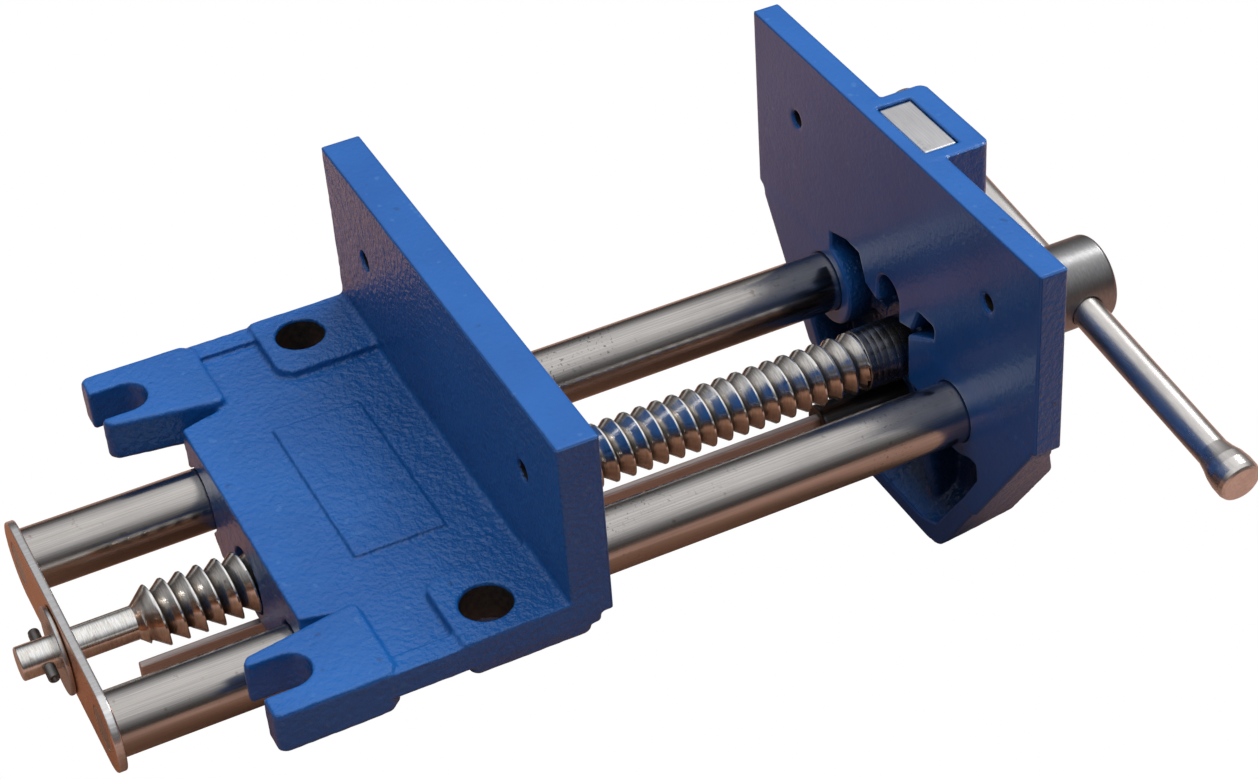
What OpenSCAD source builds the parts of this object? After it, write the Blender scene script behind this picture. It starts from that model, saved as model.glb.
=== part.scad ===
// Quick-release woodworking bench vise, 7 inch class.
// Origin: midpoint between the two round bench bolt holes, on the bench mounting face.
// +X across the jaws, +Y to the rear (towards the tie plate), +Z up to the jaw tops.
// Drawn with the jaws standing open by "opening"; all lengths in millimetres.

/* [Jaws] */
// Width of both jaws
jaw_w = 180; // [160:1:200]
// Height of the jaw tops above the bench mounting face
jaw_top = 58.6; // [50:0.1:70]
// Thickness of the rear jaw plate
rear_plate_t = 13.6; // [12:0.1:16]
// Thickness of the front jaw plate above the rods
front_plate_t = 9.9; // [9.5:0.1:11]
// Gap between the two jaw faces as drawn
opening = 145.7; // [120:0.1:160]
// Height of the jaw screw holes for wooden cheeks
cheek_hole_z = 30.5; // [24:0.5:36]
// Half distance between the jaw screw holes
cheek_hole_x = 61; // [50:1:70]
// Radius of the jaw screw holes
cheek_hole_r = 2.6; // [2:0.1:3]

/* [Guide rods and screw] */
// Half distance between the two guide rods
rod_x = 42; // [40:0.5:44]
// Height of the guide rod axes
rod_z = -25.7; // [-27:0.1:-25]
// Radius of the guide rods
rod_r = 10.5; // [9.5:0.1:11]
// Height of the lead screw axis
screw_z = -28.2; // [-29:0.1:-28]
// Crest radius of the lead screw
crest_r = 10.5; // [10:0.1:10.8]
// Root radius of the lead screw
root_r = 7.1; // [6.8:0.1:7.5]
// Thread pitch, right hand, saw-tooth form
pitch = 5.93; // [5.93:0.01:5.93]
// Radius of the plain rear tail of the screw
tail_r = 5.5; // [5:0.1:6]
// Running clearance of rods, shafts and screw in their bores
run_gap = 0.05; // [0.03:0.01:0.08]

/* [Bench mounting] */
// Distance from the rear jaw face back to the bench bolt holes
bolt_y = 34.5; // [32:0.5:38]
// Half distance between the bench bolt holes
bolt_x = 75.4; // [74:0.1:77]
// Radius of the bench bolt holes
bolt_r = 8.2; // [6:0.1:8.5]
// Half distance between the rear slots
slot_x = 73.2; // [72:0.1:75]
// Half width of the rear slots
slot_r = 7.2; // [6:0.1:7.5]

/* [Tie plate] */
// Front face of the tie plate behind the rear jaw face
tie_y = 143.5; // [142:0.1:146]
// Thickness of the tie plate
tie_t = 3; // [2.5:0.1:3.5]

/* [Handle and head] */
// Radius of the screw head
head_r = 15.2; // [14:0.1:16]
// Radius of the handle bar
handle_r = 5.7; // [5:0.1:6]
// Distance of the handle hole behind the head's front face
handle_back = 12.3; // [11:0.1:14]
// Overall length of the handle bar with its end knobs
handle_len = 217; // [190:1:230]
// How far the handle is pushed through the head as drawn
handle_shift = 3; // [-3:0.5:6]
// Tilt of the handle from level as drawn
handle_tilt = 7.2; // [0:0.1:12]

/* [Quick release] */
// Height of the release bar axis
rel_z = -49.6; // [-49.8:0.1:-49.5]
// Height of the flat release bar
bar_h = 8.4; // [7.5:0.1:8.5]
// Thickness of the flat release bar
bar_t = 2.8; // [2.5:0.1:3]
// Radius of the trigger shaft
trig_r = 7; // [6.5:0.1:7]

/* [Hidden] */
$fn = 64;
hw = jaw_w / 2;
fj = -opening;                 // front jaw work face
shell_d = 22.5;                // depth of the front jaw shell
boss_d = 26.3;                 // depth of the dog boss
hub_d = 28.3;                  // depth of the screw boss's foot
nose_d = 40.3;                 // depth of the screw boss's nose
floor_z = -3;                  // flange floor below the mounting face
box_z = -42;                   // underside of the rod housing
box_y = 85;                    // rear wall of the rod housing
nut_box_z = -61;               // underside of the nut housing
thread_y0 = -139.36;           // front end of the thread, under the collar
turns = 43;                    // turns of thread
thread_y1 = thread_y0 + pitch * (turns + 1) - 4.6; // start of the run-out cone
head_y1 = fj - 82.8;           // front face of the screw head
head_y0 = fj - nose_d - 2.2;   // rear face of the screw head
hand_y = head_y1 + handle_back;
cam_e = 8;                     // throw of the cam pin
lift = 2 * cam_e * sin(15);    // travel of the half nut over 30 degrees

// ---------- helpers ----------
// put a part that is drawn with y = 0 at the rear jaw face into the common frame
module at_frame() { translate([0, -bolt_y, 0]) children(); }
// cylinder along +Y from y0 to y1
module ycyl(r, y0, y1, x = 0, z = 0, fn = 64) {
    translate([x, y0, z]) rotate([-90, 0, 0]) cylinder(r = r, h = y1 - y0, $fn = fn);
}
module ycone(ra, rb, y0, y1, x = 0, z = 0) {
    translate([x, y0, z]) rotate([-90, 0, 0]) cylinder(r1 = ra, r2 = rb, h = y1 - y0, $fn = 64);
}
module zcyl(r, z0, z1, x = 0, y = 0, fn = 64) {
    translate([x, y, z0]) cylinder(r = r, h = z1 - z0, $fn = fn);
}
module xcyl(r, x0, x1, y = 0, z = 0, fn = 64) {
    translate([x0, y, z]) rotate([0, 90, 0]) cylinder(r = r, h = x1 - x0, $fn = fn);
}
// a flat outline drawn in x and z, given depth from y0 to y1
module slab(y0, y1) { translate([0, y1, 0]) rotate([90, 0, 0]) linear_extrude(y1 - y0) children(); }
// a flat outline drawn in x and y, given height from z0 to z1
module deck(z0, z1) { translate([0, 0, z0]) linear_extrude(z1 - z0) children(); }
module both() { children(); mirror([1, 0, 0]) children(); }
module box2(x0, x1, y0, y1, z0, z1) { translate([x0, y0, z0]) cube([x1 - x0, y1 - y0, z1 - z0]); }

// ---------- saw-tooth thread ----------
// One closed surface with 4 rows a turn that follow the helix. Right hand along +Y.
tn = 16;                               // steps round the axis
tooth_y = [0, 0.5, 0.9, 5.5];          // steep flank, crest, long flank, root
gap_y = [-0.35, 0.2, 1.2, 5.45];       // the same with working clearance
function hrow(i, j, y0, py, pr) =
    let (t = floor(j / 4), k = j - 4 * t, a = 360 * i / tn)
    [pr[k] * sin(a), y0 + pitch * (t + i / tn) + py[k], pr[k] * cos(a)];
module helix(y0, turns, py, pr) {
    m = 4 * turns;                     // rows in each column, column 0 carries 4 more
    pts = concat([for (i = [0:tn - 1]) for (j = [0:(i == 0 ? m + 4 : m)]) hrow(i, j, y0, py, pr)],
                 [[0, y0 + 1, 0], [0, y0 + pitch * (turns + 1) - 1, 0]]);
    function id(i, j) = (i == 0) ? j : (m + 5) + (i - 1) * (m + 1) + j;
    function idw(i, j) = (i == tn) ? id(0, j + 4) : id(i, j);
    last = len(pts) - 1;
    faces = concat(
        [for (i = [0:tn - 1]) for (j = [0:m - 1]) [idw(i, j), idw(i + 1, j + 1), idw(i + 1, j)]],
        [for (i = [0:tn - 1]) for (j = [0:m - 1]) [idw(i, j), idw(i, j + 1), idw(i + 1, j + 1)]],
        [for (i = [0:tn - 1]) [idw(i, 0), idw(i + 1, 0), last - 1]],
        [for (j = [0:3]) [id(0, j + 1), id(0, j), last - 1]],
        [for (i = [0:tn - 1]) [idw(i + 1, m), idw(i, m), last]],
        [for (j = [0:3]) [id(0, m + j), id(0, m + j + 1), last]]);
    polyhedron(points = pts, faces = faces);
}

// ---------- rear (fixed) jaw ----------
module ear_outline() polygon([[54.9, 67.5], [86.5, 67.5], [90, 71.5], [90.6, 104.5], [88.6, 106.8], [63.5, 106.8],
                              [61.5, 104.8]]);
module rear_jaw() color("royalblue") at_frame() difference() {
    union() {
        // jaw plate with its foot rounded into the flange
        box2(-hw, hw, 0, rear_plate_t, -7.3, jaw_top);
        slab_side(-hw + 0.5, hw - 0.5) polygon([[6.2, -6], [12, -6], [12, -14], [7.6, -12.6], [6.2, -7.6]]);
        slab_side(-58, 58) polygon([[rear_plate_t, floor_z], [rear_plate_t, 1.5], [rear_plate_t + 1.6, -1.7],
                                    [rear_plate_t + 4.4, floor_z]]);
        // flange floor
        deck(-10.6, floor_z) polygon([[-89.5, 8], [89.5, 8], [89.5, 70], [55.5, 70], [51.3, box_y], [-51.3, box_y],
                                      [-55.5, 70], [-89.5, 70]]);
        // raised panel
        box2(-35, 35, 30, 60, floor_z - 0.5, floor_z + 0.4);
        both() {
            // bolt pad, thick underneath
            deck(-14.8, 0) polygon([[57.3, 8], [89.6, 8], [89.6, 48.2], [61, 48.2], [57.3, 44]]);
            // rim along the side edge between pad and ear
            box2(81, 89.4, 46, 70, -10.6, -2);
            // ear
            deck(-15, 0) ear_outline();
            // rod guide hung under the flange
            ycyl(15.5, 2, 76, rod_x, rod_z);
            box2(rod_x - 11, rod_x + 10, 2, 76, -16, -9);
        }
        // thin rear wall across the rods
        slab(78, box_y) polygon([[-52.2, -8], [-52.2, -26], [-36, -35.4], [-30, box_z], [30, box_z], [36, -35.4],
                                 [52.2, -26], [52.2, -8]]);
        // middle housing and nut housing
        box2(-24, 24, 2, 79, box_z, -9);
        box2(-24, 24, 27.5, 66.5, nut_box_z, -30);
        box2(-31, 31, 6, 76, -34, -9);
    }
    // guide rod bores, wider through the rear wall
    both() { ycyl(rod_r + run_gap, -1, 77, rod_x, rod_z);
             ycyl(rod_r + 1, 76.5, box_y + 1, rod_x, rod_z); }
    // screw tunnel
    ycyl(crest_r + 0.8, -1, box_y + 1, 0, screw_z);
    // half nut pocket, open below
    box2(-16.2, 16.2, 31.8, 62.3, nut_box_z - 1, screw_z + 2);
    // cam journal at the front wall, bar clearance at the rear wall
    ycyl(7.6 + run_gap, 27, 32, 0, rel_z);
    ycyl(6.6, 61, 67, 0, rel_z);
    both() {
        // bench bolt hole and rear slot
        zcyl(bolt_r, -16, 1, bolt_x, bolt_y);
        deck(-16, 1) union() { translate([slot_x, 96.4]) circle(r = slot_r, $fn = 64);
                               translate([slot_x - slot_r, 96.4]) square([2 * slot_r, 14]); }
        // jaw screw holes
        ycyl(cheek_hole_r, -1, rear_plate_t + 1, cheek_hole_x, cheek_hole_z, 48);
        // cover screw holes
        zcyl(2.05, nut_box_z - 1, nut_box_z + 9, 20, 31, 32);
        zcyl(2.05, nut_box_z - 1, nut_box_z + 9, 20, 63, 32);
    }
}
module nut_cover_plate() color("dimgray") at_frame() difference() {
    box2(-24, 24, 27.5, 66.5, nut_box_z - 3, nut_box_z);
    both() { zcyl(2.3, nut_box_z - 4, nut_box_z + 1, 20, 31, 32);
             zcyl(2.3, nut_box_z - 4, nut_box_z + 1, 20, 63, 32); }
}
module nut_cover_screws() color("silver") at_frame() both() for (y = [31, 63]) {
    zcyl(2.05, nut_box_z - 3, nut_box_z + 8, 20, y, 32);
    difference() {
        zcyl(3.3, nut_box_z - 5.6, nut_box_z - 3, 20, y, 32);
        zcyl(1.5, nut_box_z - 6.6, nut_box_z - 4.2, 20, y, 6);
    }
}
module half_nut_springs() color("silver") at_frame() both() difference() {
    zcyl(2.7, nut_box_z, -52.5, 11.5, 50, 32);
    zcyl(1.9, nut_box_z - 1, -51.5, 11.5, 50, 32);
}

// ---------- half nut: saddle below the screw ----------
nut_y0 = 38.2;
nut_y1 = 62.1;
module half_nut() color("goldenrod") at_frame() {
    difference() {
        box2(-16, 16, nut_y0, nut_y1, rel_z - 7, screw_z - 3.5);
        ycyl(crest_r + 0.45, nut_y0 - 1, nut_y1 + 1, 0, screw_z);
        // window that the release bar turns in
        box2(-4.9, 4.9, nut_y0 - 1, nut_y1 + 1, rel_z - 4.8, rel_z + 8.7);
        // cross slot for the cam pin
        translate([0, 0, rel_z + lift / 2]) box2(5.3, 10.7, nut_y0 - 1, nut_y0 + 6, -2.2, 2.2);
        // spring seats
        both() zcyl(3.1, rel_z - 8, rel_z - 2.8, 11.5, 50, 32);
    }
    // teeth that stand between the screw's teeth, lower third only
    intersection() {
        difference() {
            ycyl(crest_r + 1.2, nut_y0, nut_y1, 0, screw_z, 48);
            translate([0, 0, screw_z]) helix(thread_y0 + 27 * pitch, 7, gap_y, [7.6, 11, 11, 7.6]);
        }
        box2(-8.6, 8.6, nut_y0, nut_y1, screw_z - 12.2, screw_z - 5.5);
    }
}

// ---------- release cam: turns in the rear casting, the bar slides through it ----------
module release_cam() color("dimgray") at_frame() difference() {
    union() {
        ycyl(7.6, 27.8, 32.2, 0, rel_z);
        ycyl(10.2, 32.1, 37.9, 0, rel_z);
        ycyl(2, 37.5, 43.6, cam_e * cos(15), rel_z + cam_e * sin(15), 32);
    }
    box2(-bar_t / 2 - 0.15, bar_t / 2 + 0.15, 26, 38.5, rel_z - bar_h / 2 - 0.15, rel_z + bar_h / 2 + 0.15);
}

// ---------- front (sliding) jaw ----------
// outline of the work face in x and z
module jaw_outline() polygon(concat(
    [[hw, jaw_top], [hw, -10.6], [87.8, -12.2], [86.2, -14.4], [38, -86.6]],
    [for (a = [0:15:60]) [27.5 + 7 * cos(-a - 30), -86.2 + 7 * sin(-a - 30)]],
    [for (a = [60:-15:0]) [-27.5 - 7 * cos(-a - 30), -86.2 + 7 * sin(-a - 30)]],
    [[-38, -86.6], [-86.2, -14.4], [-87.8, -12.2], [-hw, -10.6], [-hw, jaw_top]]));
// lower shell, deepest over the rods
module jaw_shell() hull() {
    slab(fj - front_plate_t, fj - 4) polygon([[80, -12], [84, -17], [38, -86.6], [30, -93], [-30, -93], [-38, -86.6],
                                              [-84, -17], [-80, -12]]);
    slab(fj - shell_d, fj - shell_d + 1) polygon([[44, 7], [58, -14], [67.6, -42], [45.5, -75.5], [36, -79],
                                                  [-36, -79], [-45.5, -75.5], [-67.6, -42], [-58, -14], [-44, 7]]);
    slab(fj - front_plate_t, fj - 4) polygon([[56, 14], [-56, 14], [-70, -12], [70, -12]]);
}
// everything below the slanted underside of the shell, raised by up
module below_shell(up) slab_side(-95, 95) polygon([[fj + 2, -94.5 + up], [fj + 2, -130], [fj - 42, -130],
                                                   [fj - 42, -61.46 + up]]);
// cored hollow of the back of the shell, seen from the rear jaw
module core_outline() difference() {
    polygon([[38.6, -0.6], [19.6, -0.1], [10.5, 1.5], [7.5, 1.8], [-7.5, 1.8], [-10.5, 1.5], [-19.6, -0.1], [-38.6, -0.6],
             [-38.6, -20], [-45, -38.5], [-55, -38.5], [-57.5, -44], [-33.5, -81], [-24, -86.3], [24, -86.3],
             [33.5, -81], [57.5, -44], [55, -38.5], [45, -38.5], [38.6, -20]]);
    both() {
        translate([rod_x, rod_z]) circle(r = 16, $fn = 64);
        // upper rib
        polygon([[8.6, 2.2], [17, 2.2], [17, -12], [9.2, -18]]);
    }
}
module front_jaw() color("royalblue") at_frame() difference() {
    union() {
        slab(fj - front_plate_t, fj) jaw_outline();
        jaw_shell();
        // dog boss, dropping to the screw boss
        box2(-20.7, 20.7, fj - boss_d, fj - 5, -24, jaw_top);
        // screw boss and its nose, which the trigger lever passes below
        ycyl(21, fj - hub_d, fj - 10, 0, screw_z);
        ycyl(12.5, fj - nose_d, fj - hub_d + 1, 0, screw_z);
        // trigger shaft boss
        ycyl(12.5, fj - hub_d + 2, fj - 10, 0, rel_z);
    }
    below_shell(0);
    difference() {
        slab(fj - 15.5, fj + 1) core_outline();
        below_shell(6.5);
        // screw boss and trigger boss stand up inside the hollow
        ycyl(15, fj - 16, fj - 7.5, 0, screw_z);
        ycyl(11.5, fj - 16, fj - 5, 0, rel_z);
        // webs from the screw boss to the rod bosses, two ribs down to the foot
        box2(-30, 30, fj - 16, fj - 9.5, -31, -25.5);
        // on one side the casting is closed between the screw and the rod, up to a small window
        slab(fj - 16, fj + 2) polygon([[-13, -13.2], [-28.9, -4.9], [-29.6, 3], [-50, 3], [-50, -33], [-13, -33]]);
        both() box2(15.6, 22, fj - 16, fj - 3.5, -90, -56);
    }
    // guide rod sockets
    both() ycyl(rod_r, fj - 20, fj + 1, rod_x, rod_z);
    // collar recess and screw bore
    ycyl(crest_r + 0.4, fj - 7.5, fj + 1, 0, screw_z);
    ycyl(8 + run_gap, fj - nose_d - 1, fj - 7, 0, screw_z);
    // trigger shaft bore, narrower at its front
    ycyl(trig_r + run_gap, fj - 20.5, fj + 1, 0, rel_z);
    ycyl(4.5 + run_gap, fj - hub_d - 1, fj - 20, 0, rel_z);
    // dog pocket
    box2(-15.2, 15.2, fj - 17.9, fj - 5.2, 6.9, jaw_top + 1);
    both() {
        ycyl(cheek_hole_r, fj - front_plate_t - 1, fj + 1, cheek_hole_x, cheek_hole_z, 48);
        // cross pin holes through the rod bosses
        zcyl(2.5, -52, -14, rod_x, fj - 13, 32);
    }
}

// ---------- guide rods, tie plate ----------
module guide_rod(s) {
    difference() {
        union() {
            ycyl(rod_r, fj - 19.8, tie_y, s * rod_x, rod_z);
            ycyl(7, tie_y - 1, tie_y + tie_t, s * rod_x, rod_z);
        }
        zcyl(2.5, -52, -14, s * rod_x, fj - 13, 32);
    }
}
module left_guide_rod() color("gainsboro") at_frame() guide_rod(-1);
module right_guide_rod() color("gainsboro") at_frame() guide_rod(1);
module rod_cross_pins() color("silver") at_frame() both() zcyl(2.5, -44, -14.8, rod_x, fj - 13, 32);
module tie_plate() color("darkgray") at_frame() difference() {
    slab(tie_y, tie_y + tie_t) union() {
        translate([0, -25.9]) square([84, 27.9], center = true);
        both() translate([42, -25.9]) circle(r = 14, $fn = 96);
    }
    both() ycyl(7, tie_y - 1, tie_y + tie_t + 1, rod_x, rod_z);
    ycyl(tail_r + run_gap, tie_y - 1, tie_y + tie_t + 1, 0, screw_z);
}

// ---------- lead screw ----------
head_pin_y = head_y0 - 8;
module about_screw(a) translate([0, 0, screw_z]) rotate([0, a, 0]) children();
module lead_screw() color("silver") at_frame() difference() {
    union() {
        translate([0, 0, screw_z]) helix(thread_y0, turns, tooth_y, [root_r, crest_r, crest_r, root_r]);
        // plain collar behind the front jaw, neck through it into the head
        ycyl(crest_r + 0.1, fj - 7.45, thread_y0 + 6, 0, screw_z);
        ycyl(8, head_y1 + 23.5, fj - 7, 0, screw_z);
        // run-out cone and plain tail
        ycone(root_r - 0.05, tail_r, thread_y1, thread_y1 + 7.5, 0, screw_z);
        ycyl(tail_r, thread_y1, 160, 0, screw_z);
    }
    // head pin hole and tail pin hole
    zcyl(2.5, screw_z - 20, screw_z + 20, 0, head_pin_y, 32);
    about_screw(-handle_tilt) xcyl(1.9, -20, 20, 151.8, 0, 32);
}
module screw_head() color("silver") at_frame() difference() {
    union() {
        ycyl(head_r, head_y1 + 1, head_y0 - 1, 0, screw_z);
        ycone(head_r - 1, head_r, head_y1, head_y1 + 1, 0, screw_z);
        ycone(head_r, head_r - 1, head_y0 - 1, head_y0, 0, screw_z);
    }
    ycyl(8, head_y1 + 23.5, head_y0 + 1, 0, screw_z);
    about_screw(-handle_tilt) xcyl(handle_r + run_gap, -20, 20, hand_y, 0);
    zcyl(2.5, screw_z - 20, screw_z + 20, 0, head_pin_y, 32);
}
module head_pin() color("gray") at_frame() zcyl(2.5, screw_z - head_r + 0.4, screw_z + head_r - 0.4, 0, head_pin_y, 32);
module thrust_washer() color("silver") at_frame() difference() {
    ycyl(13.5, fj - nose_d - 2.1, fj - nose_d, 0, screw_z);
    ycyl(8 + run_gap, fj - nose_d - 3, fj - nose_d + 1, 0, screw_z);
}
module tail_washer() color("silver") at_frame() difference() {
    ycyl(14.6, tie_y + tie_t + 0.1, tie_y + tie_t + 1.8, 0, screw_z);
    ycyl(tail_r, tie_y, tie_y + 6, 0, screw_z);
}
module tail_roll_pin() color("gray") at_frame() about_screw(-handle_tilt) difference() {
    xcyl(1.9, -10.5, 10.5, 151.8, 0, 32);
    xcyl(1.1, -11, 11, 151.8, 0, 32);
}

// ---------- handle ----------
module on_handle() translate([0, hand_y, screw_z]) rotate([0, -handle_tilt, 0]) translate([handle_shift, 0, 0]) children();
hl = handle_len / 2;
module handle_bar() color("silver") at_frame() on_handle() {
    // plain bar with a thinner spigot for the knob
    translate([-hl + 5, 0, 0]) rotate([0, 90, 0]) cylinder(r = handle_r, h = handle_len - 21, $fn = 64);
    translate([hl - 17, 0, 0]) rotate([0, 90, 0]) cylinder(r = 4, h = 11, $fn = 64);
    // upset near end
    translate([-hl, 0, 0]) rotate([0, 90, 0]) rotate_extrude($fn = 64)
        polygon([[0, 0], [6.4, 0], [7.4, 0.7], [7.9, 2.2], [7.9, 6], [7.4, 9.4], [6.4, 12.6], [handle_r, 16], [0, 16]]);
}
module handle_knob() color("silver") at_frame() on_handle() difference() {
    translate([hl, 0, 0]) rotate([0, -90, 0]) rotate_extrude($fn = 64)
        polygon([[0, 0], [6.4, 0], [7.4, 0.7], [7.9, 2.2], [7.9, 6], [7.4, 9.4], [6.6, 12.6], [6.2, 16], [0, 16]]);
    translate([hl - 17, 0, 0]) rotate([0, 90, 0]) cylinder(r = 4, h = 11, $fn = 64);
}

// ---------- dog ----------
module bench_dog() color("gainsboro") at_frame() difference() {
    box2(-14.4, 14.4, fj - 17.4, fj - 5.8, 7, jaw_top - 0.8);
    // rebate that the leaf spring sits in
    box2(-5, 5, fj - 7.1, fj - 5, 10, 44);
}
module dog_leaf_spring() color("gray") at_frame()
    slab_side(-4, 4) polygon([[fj - 7.05, 11], [fj - 7.05, 13], [fj - 5.3, 26], [fj - 5.3, 28], [fj - 7.05, 41],
                              [fj - 7.05, 43], [fj - 6.45, 43], [fj - 6.4, 41.3], [fj - 4.65 - 0.6, 28.3], [fj - 5.25, 25.7], [fj - 6.4, 12.7],
                              [fj - 6.45, 11]]);
// a flat outline drawn in y and z, given width from x0 to x1
module slab_side(x0, x1) { translate([x0, 0, 0]) rotate([90, 0, 90]) linear_extrude(x1 - x0) children(); }
// ---------- quick release ----------
module release_bar() color("rosybrown") at_frame() difference() {
    box2(-bar_t / 2, bar_t / 2, fj + 14, 124, rel_z - bar_h / 2, rel_z + bar_h / 2);
    for (y = [fj + 17.5, fj + 24]) xcyl(1.5, -3, 3, y, rel_z, 24);
}
lever_y = fj - hub_d - 5.5;
module trigger_shaft() color("dimgray") at_frame() difference() {
    union() {
        ycyl(trig_r, fj - 20.3, fj + 27.4, 0, rel_z);
        ycyl(4.5, lever_y - 5, fj - 20, 0, rel_z);
    }
    box2(-bar_t / 2, bar_t / 2, fj + 14, fj + 28, rel_z - bar_h / 2, rel_z + bar_h / 2);
    for (y = [fj + 17.5, fj + 24]) xcyl(1.5, -8, 8, y, rel_z, 24);
    xcyl(1.2, -8, 8, lever_y, rel_z, 24);
}
module bar_rivets() color("gray") at_frame() for (y = [fj + 17.5, fj + 24]) xcyl(1.5, -6.6, 6.6, y, rel_z, 24);
module trigger_lever() color("dimgray") at_frame() difference() {
    union() {
        ycyl(7.8, lever_y - 4.4, lever_y + 4.4, 0, rel_z);
        // bent finger arm
        slab(lever_y - 3, lever_y + 3) polygon([[0, -57], [16, -55], [33, -48], [46, -36], [53, -22], [46, -19],
                                                [38, -32], [28, -41], [14, -46.5], [4, -43.5]]);
        ycyl(5.5, lever_y - 4.2, lever_y + 4.2, 49.3, -20.5);
    }
    ycyl(4.5, lever_y - 6, lever_y + 6, 0, rel_z);
    xcyl(1.2, -12, 12, lever_y, rel_z, 24);
}
module lever_pin() color("silver") at_frame() xcyl(1.2, -7.6, 7.6, lever_y, rel_z, 24);

rear_jaw();
nut_cover_plate();
nut_cover_screws();
half_nut_springs();
half_nut();
release_cam();
front_jaw();
left_guide_rod();
right_guide_rod();
rod_cross_pins();
tie_plate();
thrust_washer();
lead_screw();
screw_head();
head_pin();
tail_washer();
tail_roll_pin();
handle_bar();
handle_knob();
bench_dog();
dog_leaf_spring();
release_bar();
trigger_shaft();
bar_rivets();
trigger_lever();
lever_pin();
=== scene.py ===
import bpy, math
import numpy as np
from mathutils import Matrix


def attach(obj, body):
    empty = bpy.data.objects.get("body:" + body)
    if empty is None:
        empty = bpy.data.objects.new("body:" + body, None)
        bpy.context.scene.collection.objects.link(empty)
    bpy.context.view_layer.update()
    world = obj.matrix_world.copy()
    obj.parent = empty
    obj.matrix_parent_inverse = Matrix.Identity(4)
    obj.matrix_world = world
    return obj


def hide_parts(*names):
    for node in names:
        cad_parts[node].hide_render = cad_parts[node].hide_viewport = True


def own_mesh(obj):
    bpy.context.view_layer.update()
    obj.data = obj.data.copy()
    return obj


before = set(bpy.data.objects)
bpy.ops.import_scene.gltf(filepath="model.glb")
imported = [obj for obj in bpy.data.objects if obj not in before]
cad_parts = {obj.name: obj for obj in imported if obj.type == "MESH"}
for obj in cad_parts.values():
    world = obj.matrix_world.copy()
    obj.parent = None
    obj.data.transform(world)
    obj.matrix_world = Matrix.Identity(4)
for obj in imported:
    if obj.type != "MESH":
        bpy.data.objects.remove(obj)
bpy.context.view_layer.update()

# ------------------------------------------------------------------ units
# Shapes are written in millimetres with y = 0 at the rear jaw's work face.
# The common frame's origin lies 34.5 mm behind it, between the bench bolt holes.
DY = -34.5
PITCH = 5.93
SCREW_Z, ROD_Z, ROD_X, REL_Z = -28.2, -25.7, 42.0, -49.6
FJ = -145.7


def to_m(p):
    p = np.asarray(p, dtype=np.float64).copy()
    p[:, 1] += DY
    return p / 1000.0


def mesh_obj(name, verts_mm, quads, tris=None, smooth=True, mats=(), slots=None):
    """A mesh object from arrays. quads (n,4) and tris (m,3) index verts_mm."""
    me = bpy.data.meshes.new(name)
    v = to_m(verts_mm)
    quads = np.zeros((0, 4), int) if quads is None else np.asarray(quads, int).reshape(-1, 4)
    tris = np.zeros((0, 3), int) if tris is None else np.asarray(tris, int).reshape(-1, 3)
    nl = quads.size + tris.size
    me.vertices.add(len(v))
    me.vertices.foreach_set("co", v.ravel())
    me.loops.add(nl)
    me.loops.foreach_set("vertex_index", np.concatenate([quads.ravel(), tris.ravel()]).astype(np.int32))
    nq, nt = len(quads), len(tris)
    me.polygons.add(nq + nt)
    start = np.concatenate([np.arange(nq) * 4, nq * 4 + np.arange(nt) * 3]).astype(np.int32)
    me.polygons.foreach_set("loop_start", start)
    me.update(calc_edges=True)
    me.validate()
    me.polygons.foreach_set("use_smooth", np.full(len(me.polygons), smooth))
    for m in mats:
        me.materials.append(m)
    if slots is not None:
        me.polygons.foreach_set("material_index", np.asarray(slots, np.int32))
    ob = bpy.data.objects.new(name, me)
    bpy.context.scene.collection.objects.link(ob)
    return ob


# ------------------------------------------------------------------ signed distance helpers
def iround(a, b, r):
    """Intersection with its outer edge rounded to radius r."""
    return np.minimum(-r, np.maximum(a, b)) + np.sqrt(np.maximum(r + a, 0) ** 2 + np.maximum(r + b, 0) ** 2)


def uround(a, b, r):
    """Union with a fillet of radius r."""
    return np.maximum(r, np.minimum(a, b)) - np.sqrt(np.maximum(r - a, 0) ** 2 + np.maximum(r - b, 0) ** 2)


def cut(a, b, r):
    """a without b, the new edge rounded to radius r."""
    return iround(a, -b, r)


def rbox(x, y, z, x0, x1, y0, y1, z0, z1, r):
    qx = np.abs(x - (x0 + x1) / 2) - ((x1 - x0) / 2 - r)
    qy = np.abs(y - (y0 + y1) / 2) - ((y1 - y0) / 2 - r)
    qz = np.abs(z - (z0 + z1) / 2) - ((z1 - z0) / 2 - r)
    return (np.sqrt(np.maximum(qx, 0) ** 2 + np.maximum(qy, 0) ** 2 + np.maximum(qz, 0) ** 2)
            + np.minimum(np.maximum(qx, np.maximum(qy, qz)), 0) - r)


def slabd(t, t0, t1):
    return np.abs(t - (t0 + t1) / 2) - (t1 - t0) / 2


def poly2(u, v, pts):
    """Signed distance to a closed outline."""
    d = None
    s = None
    n = len(pts)
    for i in range(n):
        ax, ay = pts[i]
        bx, by = pts[(i + 1) % n]
        ex, ey = bx - ax, by - ay
        wx, wy = u - ax, v - ay
        t = np.clip((wx * ex + wy * ey) / (ex * ex + ey * ey), 0, 1)
        dd = (wx - ex * t) ** 2 + (wy - ey * t) ** 2
        c1 = v >= ay
        c2 = v < by
        c3 = ex * wy > ey * wx
        flip = np.where((c1 & c2 & c3) | (~c1 & ~c2 & ~c3), -1.0, 1.0)
        d = dd if d is None else np.minimum(d, dd)
        s = flip if s is None else s * flip
    return np.sqrt(d) * s


def offs(pts, r):
    """Signed distance to the outline with its corners rounded to r: the outline is given already, distances are eased."""
    return lambda u, v: poly2(u, v, pts) - r


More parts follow.
